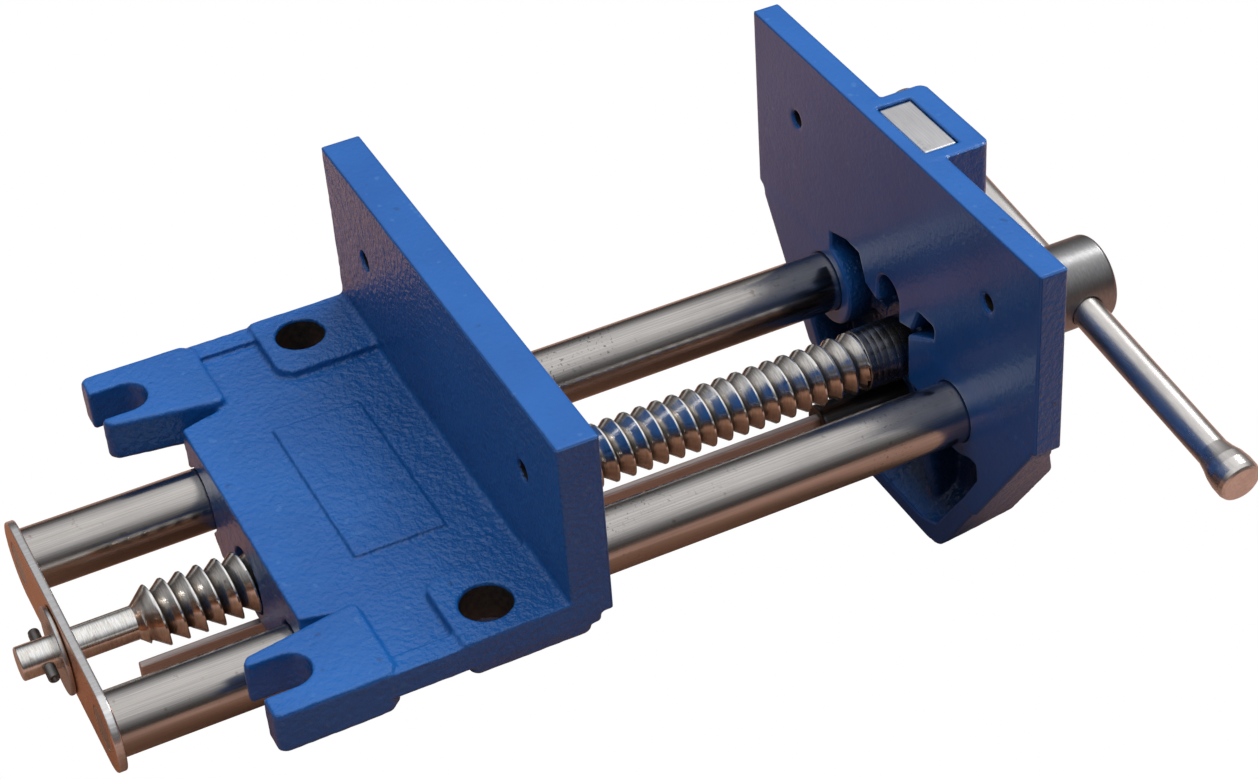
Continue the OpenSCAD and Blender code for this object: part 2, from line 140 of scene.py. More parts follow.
def inset(pts, r):
    """The outline moved inwards by r, for rounding its corners by moving back out."""
    n = len(pts)
    area = sum(pts[i][0] * pts[(i + 1) % n][1] - pts[(i + 1) % n][0] * pts[i][1] for i in range(n))
    sg = 1.0 if area > 0 else -1.0
    out = []
    for i in range(n):
        p0, p1, p2 = pts[i - 1], pts[i], pts[(i + 1) % n]
        def nrm(a, b):
            ex, ey = b[0] - a[0], b[1] - a[1]
            l = math.hypot(ex, ey)
            return (-ey / l * sg, ex / l * sg)
        n1, n2 = nrm(p0, p1), nrm(p1, p2)
        k = 1 + n1[0] * n2[0] + n1[1] * n2[1]
        out.append((p1[0] + (n1[0] + n2[0]) * r / k, p1[1] + (n1[1] + n2[1]) * r / k))
    return out


def rpoly(u, v, pts, r):
    """Outline with all its outer corners rounded to r."""
    return poly2(u, v, inset(pts, r)) - r


def cyl_y(x, y, z, cx, cz, r, y0, y1, e=0.5):
    return iround(np.sqrt((x - cx) ** 2 + (z - cz) ** 2) - r, slabd(y, y0, y1), e)


def cyl_z(x, y, z, cx, cy, r, z0, z1, e=0.5):
    return iround(np.sqrt((x - cx) ** 2 + (y - cy) ** 2) - r, slabd(z, z0, z1), e)


# ------------------------------------------------------------------ surface nets
def surface_net(f, lo, hi, h):
    """(vertices, quads) of f = 0, one vertex a cell."""
    n = [int(math.ceil((hi[a] - lo[a]) / h)) + 1 for a in range(3)]
    ax = [lo[a] + h * np.arange(n[a]) for a in range(3)]
    X = ax[0][:, None, None]
    Z = ax[2][None, None, :]
    V = np.empty(n, np.float32)
    step = 24
    for j in range(0, n[1], step):
        Y = ax[1][None, j:j + step, None]
        V[:, j:j + step, :] = f(X, Y, Z)
    V[V == 0] = 1e-6
    S = V < 0
    c = S[:-1, :-1, :-1]
    tot = np.zeros(c.shape, np.int8)
    for i in (0, 1):
        for j in (0, 1):
            for k in (0, 1):
                tot += S[i:n[0] - 1 + i, j:n[1] - 1 + j, k:n[2] - 1 + k]
    act = (tot > 0) & (tot < 8)
    idx = np.argwhere(act)
    vid = np.full(c.shape, -1, np.int32)
    vid[act] = np.arange(len(idx), dtype=np.int32)
    I, J, K = idx[:, 0], idx[:, 1], idx[:, 2]
    cv = {}
    for i in (0, 1):
        for j in (0, 1):
            for k in (0, 1):
                cv[i, j, k] = V[I + i, J + j, K + k]
    acc = np.zeros((len(idx), 3))
    cnt = np.zeros(len(idx))
    for a in range(3):
        for b in (0, 1):
            for c2 in (0, 1):
                p0 = [0, 0, 0]; p1 = [0, 0, 0]
                o = [q for q in range(3) if q != a]
                p0[o[0]] = p1[o[0]] = b
                p0[o[1]] = p1[o[1]] = c2
                p1[a] = 1
                v0, v1 = cv[tuple(p0)], cv[tuple(p1)]
                m = (v0 < 0) != (v1 < 0)
                t = np.where(m, v0 / np.where(m, v0 - v1, 1), 0)
                pos = np.zeros((len(idx), 3))
                pos[:, a] = t
                pos[:, o[0]] = b
                pos[:, o[1]] = c2
                acc += pos * m[:, None]
                cnt += m
    P = (idx + acc / cnt[:, None]) * h + np.array(lo)
    quads = []
    for a in range(3):
        o = [q for q in range(3) if q != a]
        sl0 = [slice(None)] * 3; sl1 = [slice(None)] * 3
        sl0[a] = slice(0, n[a] - 1); sl1[a] = slice(1, n[a])
        for q in o:
            sl0[q] = sl1[q] = slice(1, n[q] - 1)
        s0, s1 = S[tuple(sl0)], S[tuple(sl1)]
        e = np.argwhere(s0 != s1)
        flip = s0[tuple(e.T)]
        e = e.copy()
        for q in o:
            e[:, q] += 1
        def cell(d0, d1):
            g = e.copy()
            g[:, o[0]] -= d0
            g[:, o[1]] -= d1
            return vid[g[:, 0], g[:, 1], g[:, 2]]
        A, B, C, D = cell(1, 1), cell(0, 1), cell(0, 0), cell(1, 0)
        if a == 1:
            flip = ~flip
        Q = np.stack([A, B, C, D], 1)
        Q[~flip] = Q[~flip][:, ::-1]
        quads.append(Q)
    return P, np.concatenate(quads)


def grad(f, P, e=0.05):
    g = np.zeros_like(P)
    for a in range(3):
        q = P.copy(); q[:, a] += e
        r = P.copy(); r[:, a] -= e
        g[:, a] = (f(q[:, 0], q[:, 1], q[:, 2]) - f(r[:, 0], r[:, 1], r[:, 2])) / (2 * e)
    return g


def settle(f, P, steps=2):
    for _ in range(steps):
        g = grad(f, P)
        d = f(P[:, 0], P[:, 1], P[:, 2])
        l = np.maximum((g ** 2).sum(1), 0.2)
        P = P - np.clip(d / l, -0.5, 0.5)[:, None] * g
    return P


_rng = np.random.default_rng(7)
_LAT = _rng.random((64, 64, 64)).astype(np.float32) * 2 - 1


def vnoise(P, scale, seed=0):
    """Smooth lattice noise in -1..1 with cells of scale mm."""
    q = P / scale + seed * 17.31
    i = np.floor(q).astype(int)
    t = q - i
    t = t * t * (3 - 2 * t)
    out = 0
    for dx in (0, 1):
        for dy in (0, 1):
            for dz in (0, 1):
                w = (t[:, 0] if dx else 1 - t[:, 0]) * (t[:, 1] if dy else 1 - t[:, 1]) * (t[:, 2] if dz else 1 - t[:, 2])
                out = out + w * _LAT[(i[:, 0] + dx) & 63, (i[:, 1] + dy) & 63, (i[:, 2] + dz) & 63]
    return out


def casting(name, f, lo, hi, h, rough, mats):
    P, Q = surface_net(f, lo, hi, h)
    P = settle(f, P)
    g = grad(f, P, 0.2)
    g /= np.maximum(np.sqrt((g ** 2).sum(1)), 1e-6)[:, None]
    P = P + g * rough(P, g)[:, None]
    return mesh_obj(name, P, Q, mats=mats)


# ------------------------------------------------------------------ rear jaw casting
EAR = [(54.9, 67.7), (86.5, 67.7), (90.0, 71.6), (90.4, 104.4), (88.4, 106.7), (63.6, 106.7), (61.4, 104.6)]
PAD = [(57.4, 4.0), (89.9, 4.0), (89.9, 48.0), (61.2, 48.0), (57.4, 44.2)]
FLANGE = [(-89.7, 4.0), (89.7, 4.0), (89.7, 70.0), (55.4, 70.0), (51.4, 85.0), (-51.4, 85.0), (-55.4, 70.0), (-89.7, 70.0)]
WALL = [(-52.2, -6.0), (-52.2, -26.0), (-36.5, -35.8), (-30.2, -41.9), (30.2, -41.9), (36.5, -35.8), (52.2, -26.0), (52.2, -6.0)]


def rear_f(x, y, z):
    a = np.abs(x)
    plate = rbox(x, y, z, -90, 90, 0, 13.6, -7.3, 58.6, 0.8)
    d = iround(rpoly(x, y, FLANGE, 1.5), slabd(z, -10.6, -3.0), 0.9)
    d = uround(d, rbox(a, y, z, 81.6, 89.6, 40, 72, -10, -1.2, 0.5), 0.6)
    d = np.minimum(d, rbox(x, y, z, -35, 35, 30, 60, -6, -1.95, 0.15))
    pad = iround(rpoly(a, y, PAD, 2.2), slabd(z, -10.0, 0.0), 1.1)
    d = uround(d, pad, 1.0)
    d = uround(d, rbox(a, y, z, 57.6, 89.8, 6.3, 46.5, -14.7, -5, 3.4), 1.2)
    ear = iround(rpoly(a, y, EAR, 2.6), slabd(z, -14.9, 0.0), 1.5)
    d = uround(d, ear, 1.0)
    d = uround(d, plate, 1.7)
    # faces that lie in one plane stay flat where they meet
    d = iround(d, a - (90.0 + 0.4 * np.clip((y - 68) / 4, 0, 1)), 1.2)
    d = np.maximum(d, z - np.where(y < 15.8, 58.6, 0.0))
    # housings under the flange
    r = np.sqrt((a - ROD_X) ** 2 + (z - ROD_Z) ** 2)
    g = iround(r - 15.4, slabd(y, 2.5, 76), 1.5)
    g = uround(g, rbox(a, y, z, 31, 52, 3, 76, -18, -6, 1.5), 2.0)
    d = uround(d, g, 3.0)
    d = uround(d, iround(rpoly(x, z, WALL, 1.5), slabd(y, 78.2, 84.9), 1.2), 2.0)
    d = uround(d, rbox(x, y, z, -23.9, 23.9, 2.5, 79, -41.9, -6, 1.5), 2.5)
    d = uround(d, rbox(x, y, z, -30.8, 30.8, 6, 76, -33.8, -6, 1.5), 2.5)
    d = uround(d, rbox(x, y, z, -23.9, 23.9, 27.6, 66.4, -60.9, -30, 1.2), 2.0)
    d = np.maximum(d, y - np.where(a < 53, 85.0, 120.0))
    d = np.maximum(d, -14.9 - z - np.where((a > 55.5) & (y > 47), 0.0, 60.0))
    # bores
    d = cut(d, np.maximum(r - 10.75, slabd(y, -5, 77.2)), 0.5)
    d = cut(d, np.maximum(r - 11.4, slabd(y, 76.6, 92)), 0.6)
    s = np.sqrt(x ** 2 + (z - SCREW_Z) ** 2)
    d = cut(d, np.maximum(s - 11.4, slabd(y, -5, 92)), 0.6)
    d = cut(d, rbox(x, y, z, -16.3, 16.3, 31.7, 62.4, -66, -26.2, 0.8), 0.6)
    t = np.sqrt(x ** 2 + (z - REL_Z) ** 2)
    d = cut(d, np.maximum(t - 7.75, slabd(y, 20, 33)), 0.4)
    d = cut(d, np.maximum(t - 6.6, slabd(y, 58, 70)), 0.4)
    # bench bolt holes, ear slots
    b = np.sqrt((a - 75.4) ** 2 + (y - 34.5) ** 2)
    d = cut(d, np.maximum(b - 8.2, slabd(z, -20, 5)), 0.9)
    e = np.maximum(np.where(y < 96.4, np.sqrt((a - 73.2) ** 2 + (y - 96.4) ** 2), np.abs(a - 73.2)) - 7.2, slabd(z, -20, 5))
    d = cut(d, e, 1.1)
    # jaw lining screw holes, dimpled at the back
    c = np.sqrt((a - 61) ** 2 + (z - 30.5) ** 2)
    d = cut(d, np.maximum(c - 2.6, slabd(y, -5, 20)), 0.5)
    d = cut(d, np.maximum(c - 3.4, slabd(y, 7.5, 20)), 0.5)
    d = cut(d, np.sqrt(c ** 2 + (y - 24.5) ** 2) - 11.7, 0.6)
    # cover screw holes
    q = np.sqrt((a - 20) ** 2 + (np.abs(y - 47) - 16) ** 2)
    d = cut(d, np.maximum(q - 2.15, slabd(z, -70, -52)), 0.3)
    return d


def rear_rough(P, g):
    x, y, z = P.T
    n = vnoise(P, 1.9, 1) * 0.75 + vnoise(P, 3.3, 2) * 0.55
    big = vnoise(P, 14.0, 3)
    amp = np.full(len(P), 0.13)
    back = (g[:, 1] > 0.6) & (z > -2) & (y > 10)
    amp = np.where(back, 0.10 + 0.10 * np.exp(-np.clip(z, 0, 99) / 6.0) + 0.08 * np.clip((x - 10) / 60, 0, 1), amp)
    top = g[:, 2] > 0.6
    deck = top & (z > -4) & (z < 1)
    amp = np.where(deck, 0.13 + 0.24 * np.exp(-np.clip(y - 14, 0, 99) / 24.0), amp)
    amp = np.where(deck & (z > -1), 0.075, amp)
    work = (y < 0.6) & (g[:, 1] < -0.5)
    crest = z > 58.0
    side = (np.abs(x) > 89.3) & (y < 14) & (z > -7)
    amp = np.where(work | crest | side, 0.006, amp)
    hole = np.abs(g[:, 1]) < 0.3
    inner = (np.hypot(np.abs(x) - ROD_X, z - ROD_Z) < 12) | (np.hypot(x, z - SCREW_Z) < 12)
    amp = np.where(inner & hole, 0.0, amp)
    amp = np.where(z < -58, 0.01, amp)
    return amp * n + np.where(amp > 0.03, 0.06, 0.0) * big - amp * 0.6


# ------------------------------------------------------------------ front jaw casting
FACE = [(-90, 58.6), (-90, -10.8), (-87.6, -12.0), (-86.2, -14.4), (-38.0, -86.6), (-32.5, -93.0), (32.5, -93.0),
        (38.0, -86.6), (86.2, -14.4), (87.6, -12.0), (90, -10.8), (90, 58.6)]
HULL = [(85.6, -145.7, -15.3), (38.2, -145.7, -86.3), (33.4, -145.7, -91.2), (27.5, -145.7, -93.0),
        (84.4, -155.4, -17.1), (40.6, -155.4, -82.7), (30.0, -155.4, -85.6), (56, -155.4, 14), (70, -155.4, -10),
        (44, -168.1, 6.5), (58, -168.1, -14), (67.6, -168.1, -42.2), (45.6, -168.1, -75.2), (38, -168.1, -76.6)]


def hull_planes(pts):
    P = np.array([(sx * p[0], p[1], p[2]) for p in pts for sx in (1, -1)], float)
    out = []
    n = len(P)
    for i in range(n):
        for j in range(i + 1, n):
            for k in range(j + 1, n):
                nn = np.cross(P[j] - P[i], P[k] - P[i])
                l = np.linalg.norm(nn)
                if l < 1e-6:
                    continue
                nn = nn / l
                d = P @ nn - P[i] @ nn
                if d.max() > 1e-6 and d.min() < -1e-6:
                    continue
                if d.max() > 1e-6:
                    nn = -nn
                c = P[i] @ nn
                if not any(np.dot(nn, o[0]) > 0.99999 and abs(c - o[1]) < 1e-3 for o in out):
                    out.append((nn, c))
    return out


PLANES = hull_planes(HULL)
OUTER = [p for p in PLANES if p[0][1] < 0.9]


def soft_hull(x, y, z, planes, k):
    ds = [n[0] * x + n[1] * y + n[2] * z - c for n, c in planes]
    m = ds[0]
    for q in ds[1:]:
        m = np.maximum(m, q)
    s = 0
    for q in ds:
        s = s + np.exp(k * (q - m))
    return m + np.log(s) / k


CORE = [(38.6, -3.1), (28.2, -0.1), (19.6, -0.1), (15.2, -10), (0, -14.0), (0, -88.0), (8, -87.4), (20, -87.7), (31.3, -82.4),
        (48.9, -57.3), (56.7, -44.6), (55.9, -38.8), (43.5, -38.6), (38.6, -20)]


def front_f(x, y, z):
    a = np.abs(x)
    plate = iround(rpoly(x, z, FACE, 0.6), slabd(y, FJ - 9.9, FJ), 0.7)
    plate = iround(plate, -z - 60, 0.5)
    shell = soft_hull(x, y, z, PLANES, 3.2)
    d = uround(plate, shell, 2.5)
    boss = iround(rpoly(x, y, [(-20.6, FJ - 26.2), (20.6, FJ - 26.2), (20.6, FJ - 4), (-20.6, FJ - 4)], 3.2), slabd(z, -23, 58.6), 0.9)
    d = uround(d, boss, 0.9)
    s = np.sqrt(x ** 2 + (z - SCREW_Z) ** 2)
    d = uround(d, iround(s - 20.9, slabd(y, FJ - 28.2, FJ - 10), 1.5), 3.0)
    d = uround(d, iround(s - 12.4, slabd(y, FJ - 40.2, FJ - 20), 0.7), 1.5)
    t = np.sqrt(x ** 2 + (z - REL_Z) ** 2)
    d = uround(d, iround(t - 12.4, slabd(y, FJ - 26.2, FJ - 10), 1.0), 2.0)
    d = iround(d, z - 58.6, 0.7)
    d = iround(d, y - FJ, 0.7)
    # cored hollow
    r = np.sqrt((a - ROD_X) ** 2 + (z - ROD_Z) ** 2)
    core = poly2(a, z, CORE)
    arch = np.maximum(np.where(z < -5.3, np.abs(x), np.sqrt(x ** 2 + (z + 5.3) ** 2)) - 6.9, -z - 20)
    core = np.minimum(core, arch)
    core = iround(core, -(r - 16), 1.0)
    web = rpoly(x, z, [(-13, -13.2), (-28.9, -4.9), (-29.6, 4), (-50, 4), (-50, -33), (-13, -33)], 1.2)
    core = iround(core, -web, 1.2)
    core = iround(core, slabd(y, FJ - 15.2, FJ + 4), 1.2)
    core = iround(core, soft_hull(x, y, z, OUTER, 1.5) + 4.6, 2.0)
    # boss walls that stand inside the hollow
    core = iround(core, -(np.maximum(s - 14.8, y - (FJ - 7.7))), 1.0)
    core = iround(core, -(np.maximum(t - 11.3, y - (FJ - 5.2))), 1.0)
    core = iround(core, -iround(np.maximum(np.abs(a - 18.8) - 3.2, z + 56), y - (FJ - 2.2) + 0.22 * np.clip(-60 - z, 0, 40), 2.0), 1.6)
    core = iround(core, -(np.maximum(np.maximum(a - 30, np.abs(z + 28.2) - 3.0), y - (FJ - 9.7))), 1.0)
    d = cut(d, core, 1.2)
    # rod sockets, screw recess and bores
    d = cut(d, np.maximum(r - 10.62, slabd(y, FJ - 19.8, FJ + 5)), 0.7)
    d = cut(d, np.maximum(s - 11.1, slabd(y, FJ - 7.5, FJ + 5)), 0.5)
    d = cut(d, np.maximum(s - 8.2, slabd(y, FJ - 45, FJ)), 0.4)
    d = cut(d, np.maximum(t - 7.2, slabd(y, FJ - 20.5, FJ + 5)), 0.4)
    d = cut(d, np.maximum(t - 4.7, slabd(y, FJ - 40, FJ)), 0.4)
    # dog pocket
    d = cut(d, rbox(x, y, z, -15.2, 15.2, FJ - 17.9, FJ - 5.2, 6.8, 70, 0.6), 0.5)
    # lining screw holes
    c = np.sqrt((a - 61) ** 2 + (z - 30.5) ** 2)
    d = cut(d, np.maximum(c - 3.0, slabd(y, FJ - 15, FJ + 5)), 0.4)
    d = cut(d, np.sqrt(c ** 2 + (y - (FJ + 10.6)) ** 2) - 11.4, 0.5)
    return d


def front_rough(P, g):
    x, y, z = P.T
    n = vnoise(P, 1.9, 5) * 0.6 + vnoise(P, 3.4, 6) * 0.5
    amp = np.full(len(P), 0.11)
    amp = np.where((y > FJ - 0.7) & (g[:, 1] > 0.5), 0.008, amp)
    amp = np.where(z > 58.0, 0.008, amp)
    amp = np.where((np.abs(x) > 89.3), 0.02, amp)
    bore = (np.hypot(np.abs(x) - ROD_X, z - ROD_Z) < 12) | (np.hypot(x, z - SCREW_Z) < 11.6)
    amp = np.where(bore, 0.0, amp)
    return amp * n - amp * 0.5


# ------------------------------------------------------------------ objects
def tidy(ob, weld=2e-6):
    """Welds coincident points and turns every face outwards."""
    import bmesh
    bm = bmesh.new()
    bm.from_mesh(ob.data)
    bmesh.ops.remove_doubles(bm, verts=bm.verts, dist=weld)
    bmesh.ops.dissolve_degenerate(bm, edges=bm.edges, dist=weld * 0.5)
    loose = [v for v in bm.verts if not v.link_faces]
    bmesh.ops.delete(bm, geom=loose, context="VERTS")
    bmesh.ops.recalc_face_normals(bm, faces=bm.faces)
    bm.to_mesh(ob.data)
    bm.free()
    ob.data.polygons.foreach_set("use_smooth", np.full(len(ob.data.polygons), True))
    return ob


def soft(prof, e, closed=False, n=4):
    """A profile with its corners rounded to radius e, or to a point's own third value."""
    out = []
    m = len(prof)
    for i in range(m):
        p = np.array(prof[i][:2], float)
        ee = prof[i][2] if len(prof[i]) > 2 else e
        if not closed and i in (0, m - 1) or ee <= 0:
            out.append(tuple(p))
            continue
        a = np.array(prof[i - 1][:2], float) - p
        b = np.array(prof[(i + 1) % m][:2], float) - p
        la, lb = np.linalg.norm(a), np.linalg.norm(b)
        a, b = a / la, b / lb
        half = math.acos(max(-1, min(1, float(a @ b)))) / 2
        if half > 1.5:
            out.append(tuple(p))
            continue
        l = min(ee / math.tan(half), 0.42 * la, 0.42 * lb)
        r = l * math.tan(half)
        c = p + (a + b) / np.linalg.norm(a + b) * r / math.sin(half)
        s, t = p + a * l, p + b * l
        out.append(tuple(s + a * min(0.15, 0.1 * la)))
        a0 = math.atan2(*(s - c)[::-1])
        a1 = math.atan2(*(t - c)[::-1])
        d = (a1 - a0 + math.pi) % (2 * math.pi) - math.pi
        for k in range(n + 1):
            g = a0 + d * k / n
            out.append((c[0] + r * math.cos(g), c[1] + r * math.sin(g)))
        out.append(tuple(t + b * min(0.15, 0.1 * lb)))
    return out


def frame_of(axis):
    d = np.array(axis, float)
    d /= np.linalg.norm(d)
    r = np.array([0, 0, 1.0]) if abs(d[2]) < 0.9 else np.array([1.0, 0, 0])
    u = np.cross(r, d)
    u /= np.linalg.norm(u)
    return d, u, np.cross(d, u)


def lathe_parts(prof, origin, axis, seg, closed=False, wob=None):
    """(verts, quads) of a profile of (t, r) turned about an axis."""
    d, u, v = frame_of(axis)
    A = np.arange(seg) * 2 * math.pi / seg
    T = np.array([p[0] for p in prof])
    R = np.array([max(p[1], 0.0) for p in prof])
    RR = R[:, None] * np.ones(seg)[None, :]
    if wob is not None:
        RR = RR + wob(T[:, None], A[None, :]) * (RR > 0.01)
    V = (np.array(origin)[None, None] + T[:, None, None] * d + RR[:, :, None] *
         (np.cos(A)[None, :, None] * u + np.sin(A)[None, :, None] * v))
    n = len(prof)
    q = []
    last = n if closed else n - 1
    j = np.arange(seg)
    for i in range(last):
        k = (i + 1) % n
        q.append(np.stack([i * seg + j, i * seg + (j + 1) % seg, k * seg + (j + 1) % seg, k * seg + j], 1))
    return V.reshape(-1, 3), np.concatenate(q)


def lathe(name, prof, origin, axis, seg, mats, closed=False, wob=None):
    V, Q = lathe_parts(prof, origin, axis, seg, closed, wob)
    return tidy(mesh_obj(name, V, Q, mats=mats))


def merged(name, parts, mats):
    """One object from several (verts, quads) shells."""
    V, Q, base = [], [], 0
    for v, q in parts:
        V.append(v)
        Q.append(q + base)
        base += len(v)
    return tidy(mesh_obj(name, np.concatenate(V), np.concatenate(Q), mats=mats))


def solid(name, f, lo, hi, h, mats, rough=None):
    """A small piece from its distance function."""
    P, Q = surface_net(f, lo, hi, h)
    P = settle(f, P)
    if rough is not None:
        g = grad(f, P, 0.1)
        g /= np.maximum(np.sqrt((g ** 2).sum(1)), 1e-6)[:, None]
        P = P + g * rough(P, g)[:, None]
    ob = mesh_obj(name, P, Q, mats=mats)
    ob.data.polygons.foreach_set("use_smooth", np.full(len(ob.data.polygons), True))
    return ob


def done(ob, body, slot, *nodes):
    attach(ob, body)
    if nodes:
        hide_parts(*nodes)
    return ob


# ------------------------------------------------------------------ materials
class Mat:
    def __init__(self, name):
        self.m = bpy.data.materials.new(name)
        self.m.use_nodes = True
        self.t = self.m.node_tree
        self.t.nodes.clear()
        self.out = self.n("ShaderNodeOutputMaterial")
        self.b = self.n("ShaderNodeBsdfPrincipled")
        self.t.links.new(self.b.outputs[0], self.out.inputs[0])
        self.co = self.n("ShaderNodeTexCoord").outputs["Object"]

    def n(self, kind, **kw):
        x = self.t.nodes.new(kind)
        for k, v in kw.items():
            setattr(x, k, v)
        return x

    def put(self, sock, v):
        if isinstance(v, bpy.types.NodeSocket):
            self.t.links.new(v, sock)
        else:
            sock.default_value = v

    def math(self, op, a, b=0.0, c=None, clamp=False):
        x = self.n("ShaderNodeMath", operation=op, use_clamp=clamp)
        self.put(x.inputs[0], a)
        self.put(x.inputs[1], b)
        if c is not None:
            self.put(x.inputs[2], c)
        return x.outputs[0]

    def scaled(self, s, off=(0, 0, 0), rot=(0, 0, 0)):
        x = self.n("ShaderNodeMapping", vector_type="POINT")
        self.put(x.inputs[0], self.co)
        x.inputs[1].default_value = off
        x.inputs[2].default_value = rot
        x.inputs[3].default_value = s if isinstance(s, tuple) else (s, s, s)
        return x.outputs[0]

    def noise(self, s, detail=3.0, rough=0.55, off=(0, 0, 0), dist=0.0):
        x = self.n("ShaderNodeTexNoise", noise_dimensions="3D")
        self.put(x.inputs["Vector"], self.scaled(s, off))
        x.inputs["Scale"].default_value = 1.0
        x.inputs["Detail"].default_value = detail
        x.inputs["Roughness"].default_value = rough
        x.inputs["Distortion"].default_value = dist
        return x.outputs[0]

    def ramp(self, fac, stops, mode="LINEAR"):
        x = self.n("ShaderNodeValToRGB")
        cr = x.color_ramp
        cr.interpolation = mode
        while len(cr.elements) > 1:
            cr.elements.remove(cr.elements[-1])
        for i, (p, c) in enumerate(stops):
            e = cr.elements[0] if i == 0 else cr.elements.new(p)
            e.position = p
            e.color = (c, c, c, 1) if isinstance(c, (int, float)) else (*c, 1)
        self.put(x.inputs[0], fac)
        return x.outputs[0]

    def mix(self, f, a, b, mode="MIX"):
        x = self.n("ShaderNodeMix", data_type="RGBA", blend_type=mode)
        self.put(x.inputs[0], f)
        self.put(x.inputs[6], a if isinstance(a, bpy.types.NodeSocket) else (*a, 1))
        self.put(x.inputs[7], b if isinstance(b, bpy.types.NodeSocket) else (*b, 1))
        return x.outputs[2]

    def sep(self):
        x = self.n("ShaderNodeSeparateXYZ")
        self.put(x.inputs[0], self.co)
        return x.outputs

    def bump(self, h, dist, strength=1.0, prev=None):
        x = self.n("ShaderNodeBump")
        x.inputs["Strength"].default_value = strength
        x.inputs["Distance"].default_value = dist
        self.put(x.inputs["Height"], h)
        if prev is not None:
            self.put(x.inputs["Normal"], prev)
        return x.outputs[0]

    def set(self, **kw):
        names = {"color": "Base Color", "metal": "Metallic", "rough": "Roughness", "normal": "Normal", "coat": "Coat Weight",
                 "coat_rough": "Coat Roughness", "coat_normal": "Coat Normal", "spec": "Specular IOR Level", "ior": "IOR",
                 "aniso": "Anisotropic"}
        for k, v in kw.items():
            s = self.b.inputs[names[k]]
            if k == "color" and not isinstance(v, bpy.types.NodeSocket):
                v = (*v, 1)
            self.put(s, v)
        return self.m


def paint(name, seed, skin, gloss=0.11, core_shade=False):
    """Blue enamel over an as-cast skin; the last flag adds painted shade that deepens into the cored hollow."""
    m = Mat(name)
    o = (seed, seed * 1.7, seed * 0.6)
    broad = m.noise(22.0, 3, 0.55, o)
    fine = m.noise(560.0, 2.5, 0.5, o)
    grit = m.noise(1500.0, 2, 0.5, o)
    spots = m.noise(260.0, 1, 0.4, (seed + 3, 1, 5))
    base = m.ramp(broad, [(0.3, (0.0070, 0.073, 0.272)), (0.7, (0.0105, 0.094, 0.328))])
    base = m.mix(m.ramp(spots, [(0.70, 0.0), (0.76, 0.35)]), base, (0.05, 0.15, 0.36))
    base = m.mix(m.ramp(spots, [(0.20, 0.45), (0.27, 0.0)]), base, (0.008, 0.035, 0.11))
    rough = m.ramp(m.noise(60.0, 4, 0.6, o), [(0.3, 0.30), (0.7, 0.40)])
    x, y, z = m.sep()
    if core_shade:
        # painted shade: the base colour goes towards near black deeper inside the cored hollow
        inner = m.math("MULTIPLY", m.math("SUBTRACT", -0.1806, y), 130.0, clamp=True)
        base = m.mix(m.math("MULTIPLY", inner, 0.80), base, (0.002, 0.007, 0.022))
    away = m.math("MULTIPLY", m.math("SUBTRACT", m.math("MULTIPLY", y, skin), skin * (-0.0345 if skin > 0 else -0.1802) + 0.0006), 2500.0, clamp=True)
    low = m.math("MULTIPLY", m.math("SUBTRACT", 0.0582, z), 2500.0, clamp=True)
    k = m.math("ADD", m.math("MULTIPLY", m.math("MULTIPLY", away, low), 0.88), 0.12)
    if skin > 0:
        calm = m.math("MULTIPLY", m.math("SUBTRACT", y, -0.004), 22.0, clamp=True)
        k = m.math("MULTIPLY", k, m.math("SUBTRACT", 1.0, m.math("MULTIPLY", calm, 0.55)))
    nb = m.bump(m.math("MULTIPLY", grit, k), 0.00006, 0.5)
    nb = m.bump(m.math("MULTIPLY", fine, k), 0.00072, 0.85, nb)
    cb = m.bump(m.math("MULTIPLY", fine, k), 0.00105, 1.0)
    return m.set(color=base, rough=rough, coat=0.74, coat_rough=gloss, normal=nb, coat_normal=cb, metal=0.0, ior=1.5, spec=0.15)


def metal(name, base, rough, streak=None, amp=1.0, dark=None, seed=0.0, aniso=0.0, rust=0.0, bump=0.00002, spots=0.12, pits=0.0):
    """Steel: base colour, roughness range, streaks along the stretch given as three scales."""
    m = Mat(name)
    o = (seed, seed * 0.7, seed * 1.3)
    s = m.noise(streak or (700, 700, 700), 4, 0.6, o)
    s2 = m.noise(tuple(v * 0.23 for v in (streak or (700, 700, 700))), 3, 0.6, o)
    broad = m.noise(35.0, 4, 0.6, o)
    dk = dark or tuple(c * 0.6 for c in base)
    col = m.mix(m.ramp(s, [(0.35, 0.0), (0.65, 1.0)]), dk, base)
    col = m.mix(m.ramp(s2, [(0.38, 0.35), (0.55, 0.0)]), col, tuple(c * 0.75 for c in base))
    col = m.mix(m.ramp(broad, [(0.35, spots), (0.62, 0.0)]), col, tuple(c * 0.45 for c in base))
    if rust:
        f = m.ramp(m.noise(210.0, 3, 0.6, (seed + 9, 2, 4)), [(0.66, 0.0), (0.74, rust)])
        col = m.mix(f, col, (0.20, 0.085, 0.03))
    if pits:
        patch = m.ramp(m.noise(26.0, 3, 0.6, (seed + 5, 6, 1)), [(0.52, 0.0), (0.66, 1.0)])
        f = m.ramp(m.noise(900.0, 2, 0.5, (seed + 2, 8, 4)), [(0.62, 0.0), (0.70, pits)])
        col = m.mix(m.math("MULTIPLY", f, patch), col, (0.07, 0.055, 0.045))
    rg = m.ramp(s, [(0.3, rough[1]), (0.7, rough[0])])
    rg = m.math("ADD", rg, m.ramp(broad, [(0.3, 0.10), (0.6, 0.0)]))
    nb = m.bump(s, bump, 0.6 * amp)
    return m.set(color=col, rough=rg, metal=1.0, normal=nb, aniso=aniso)


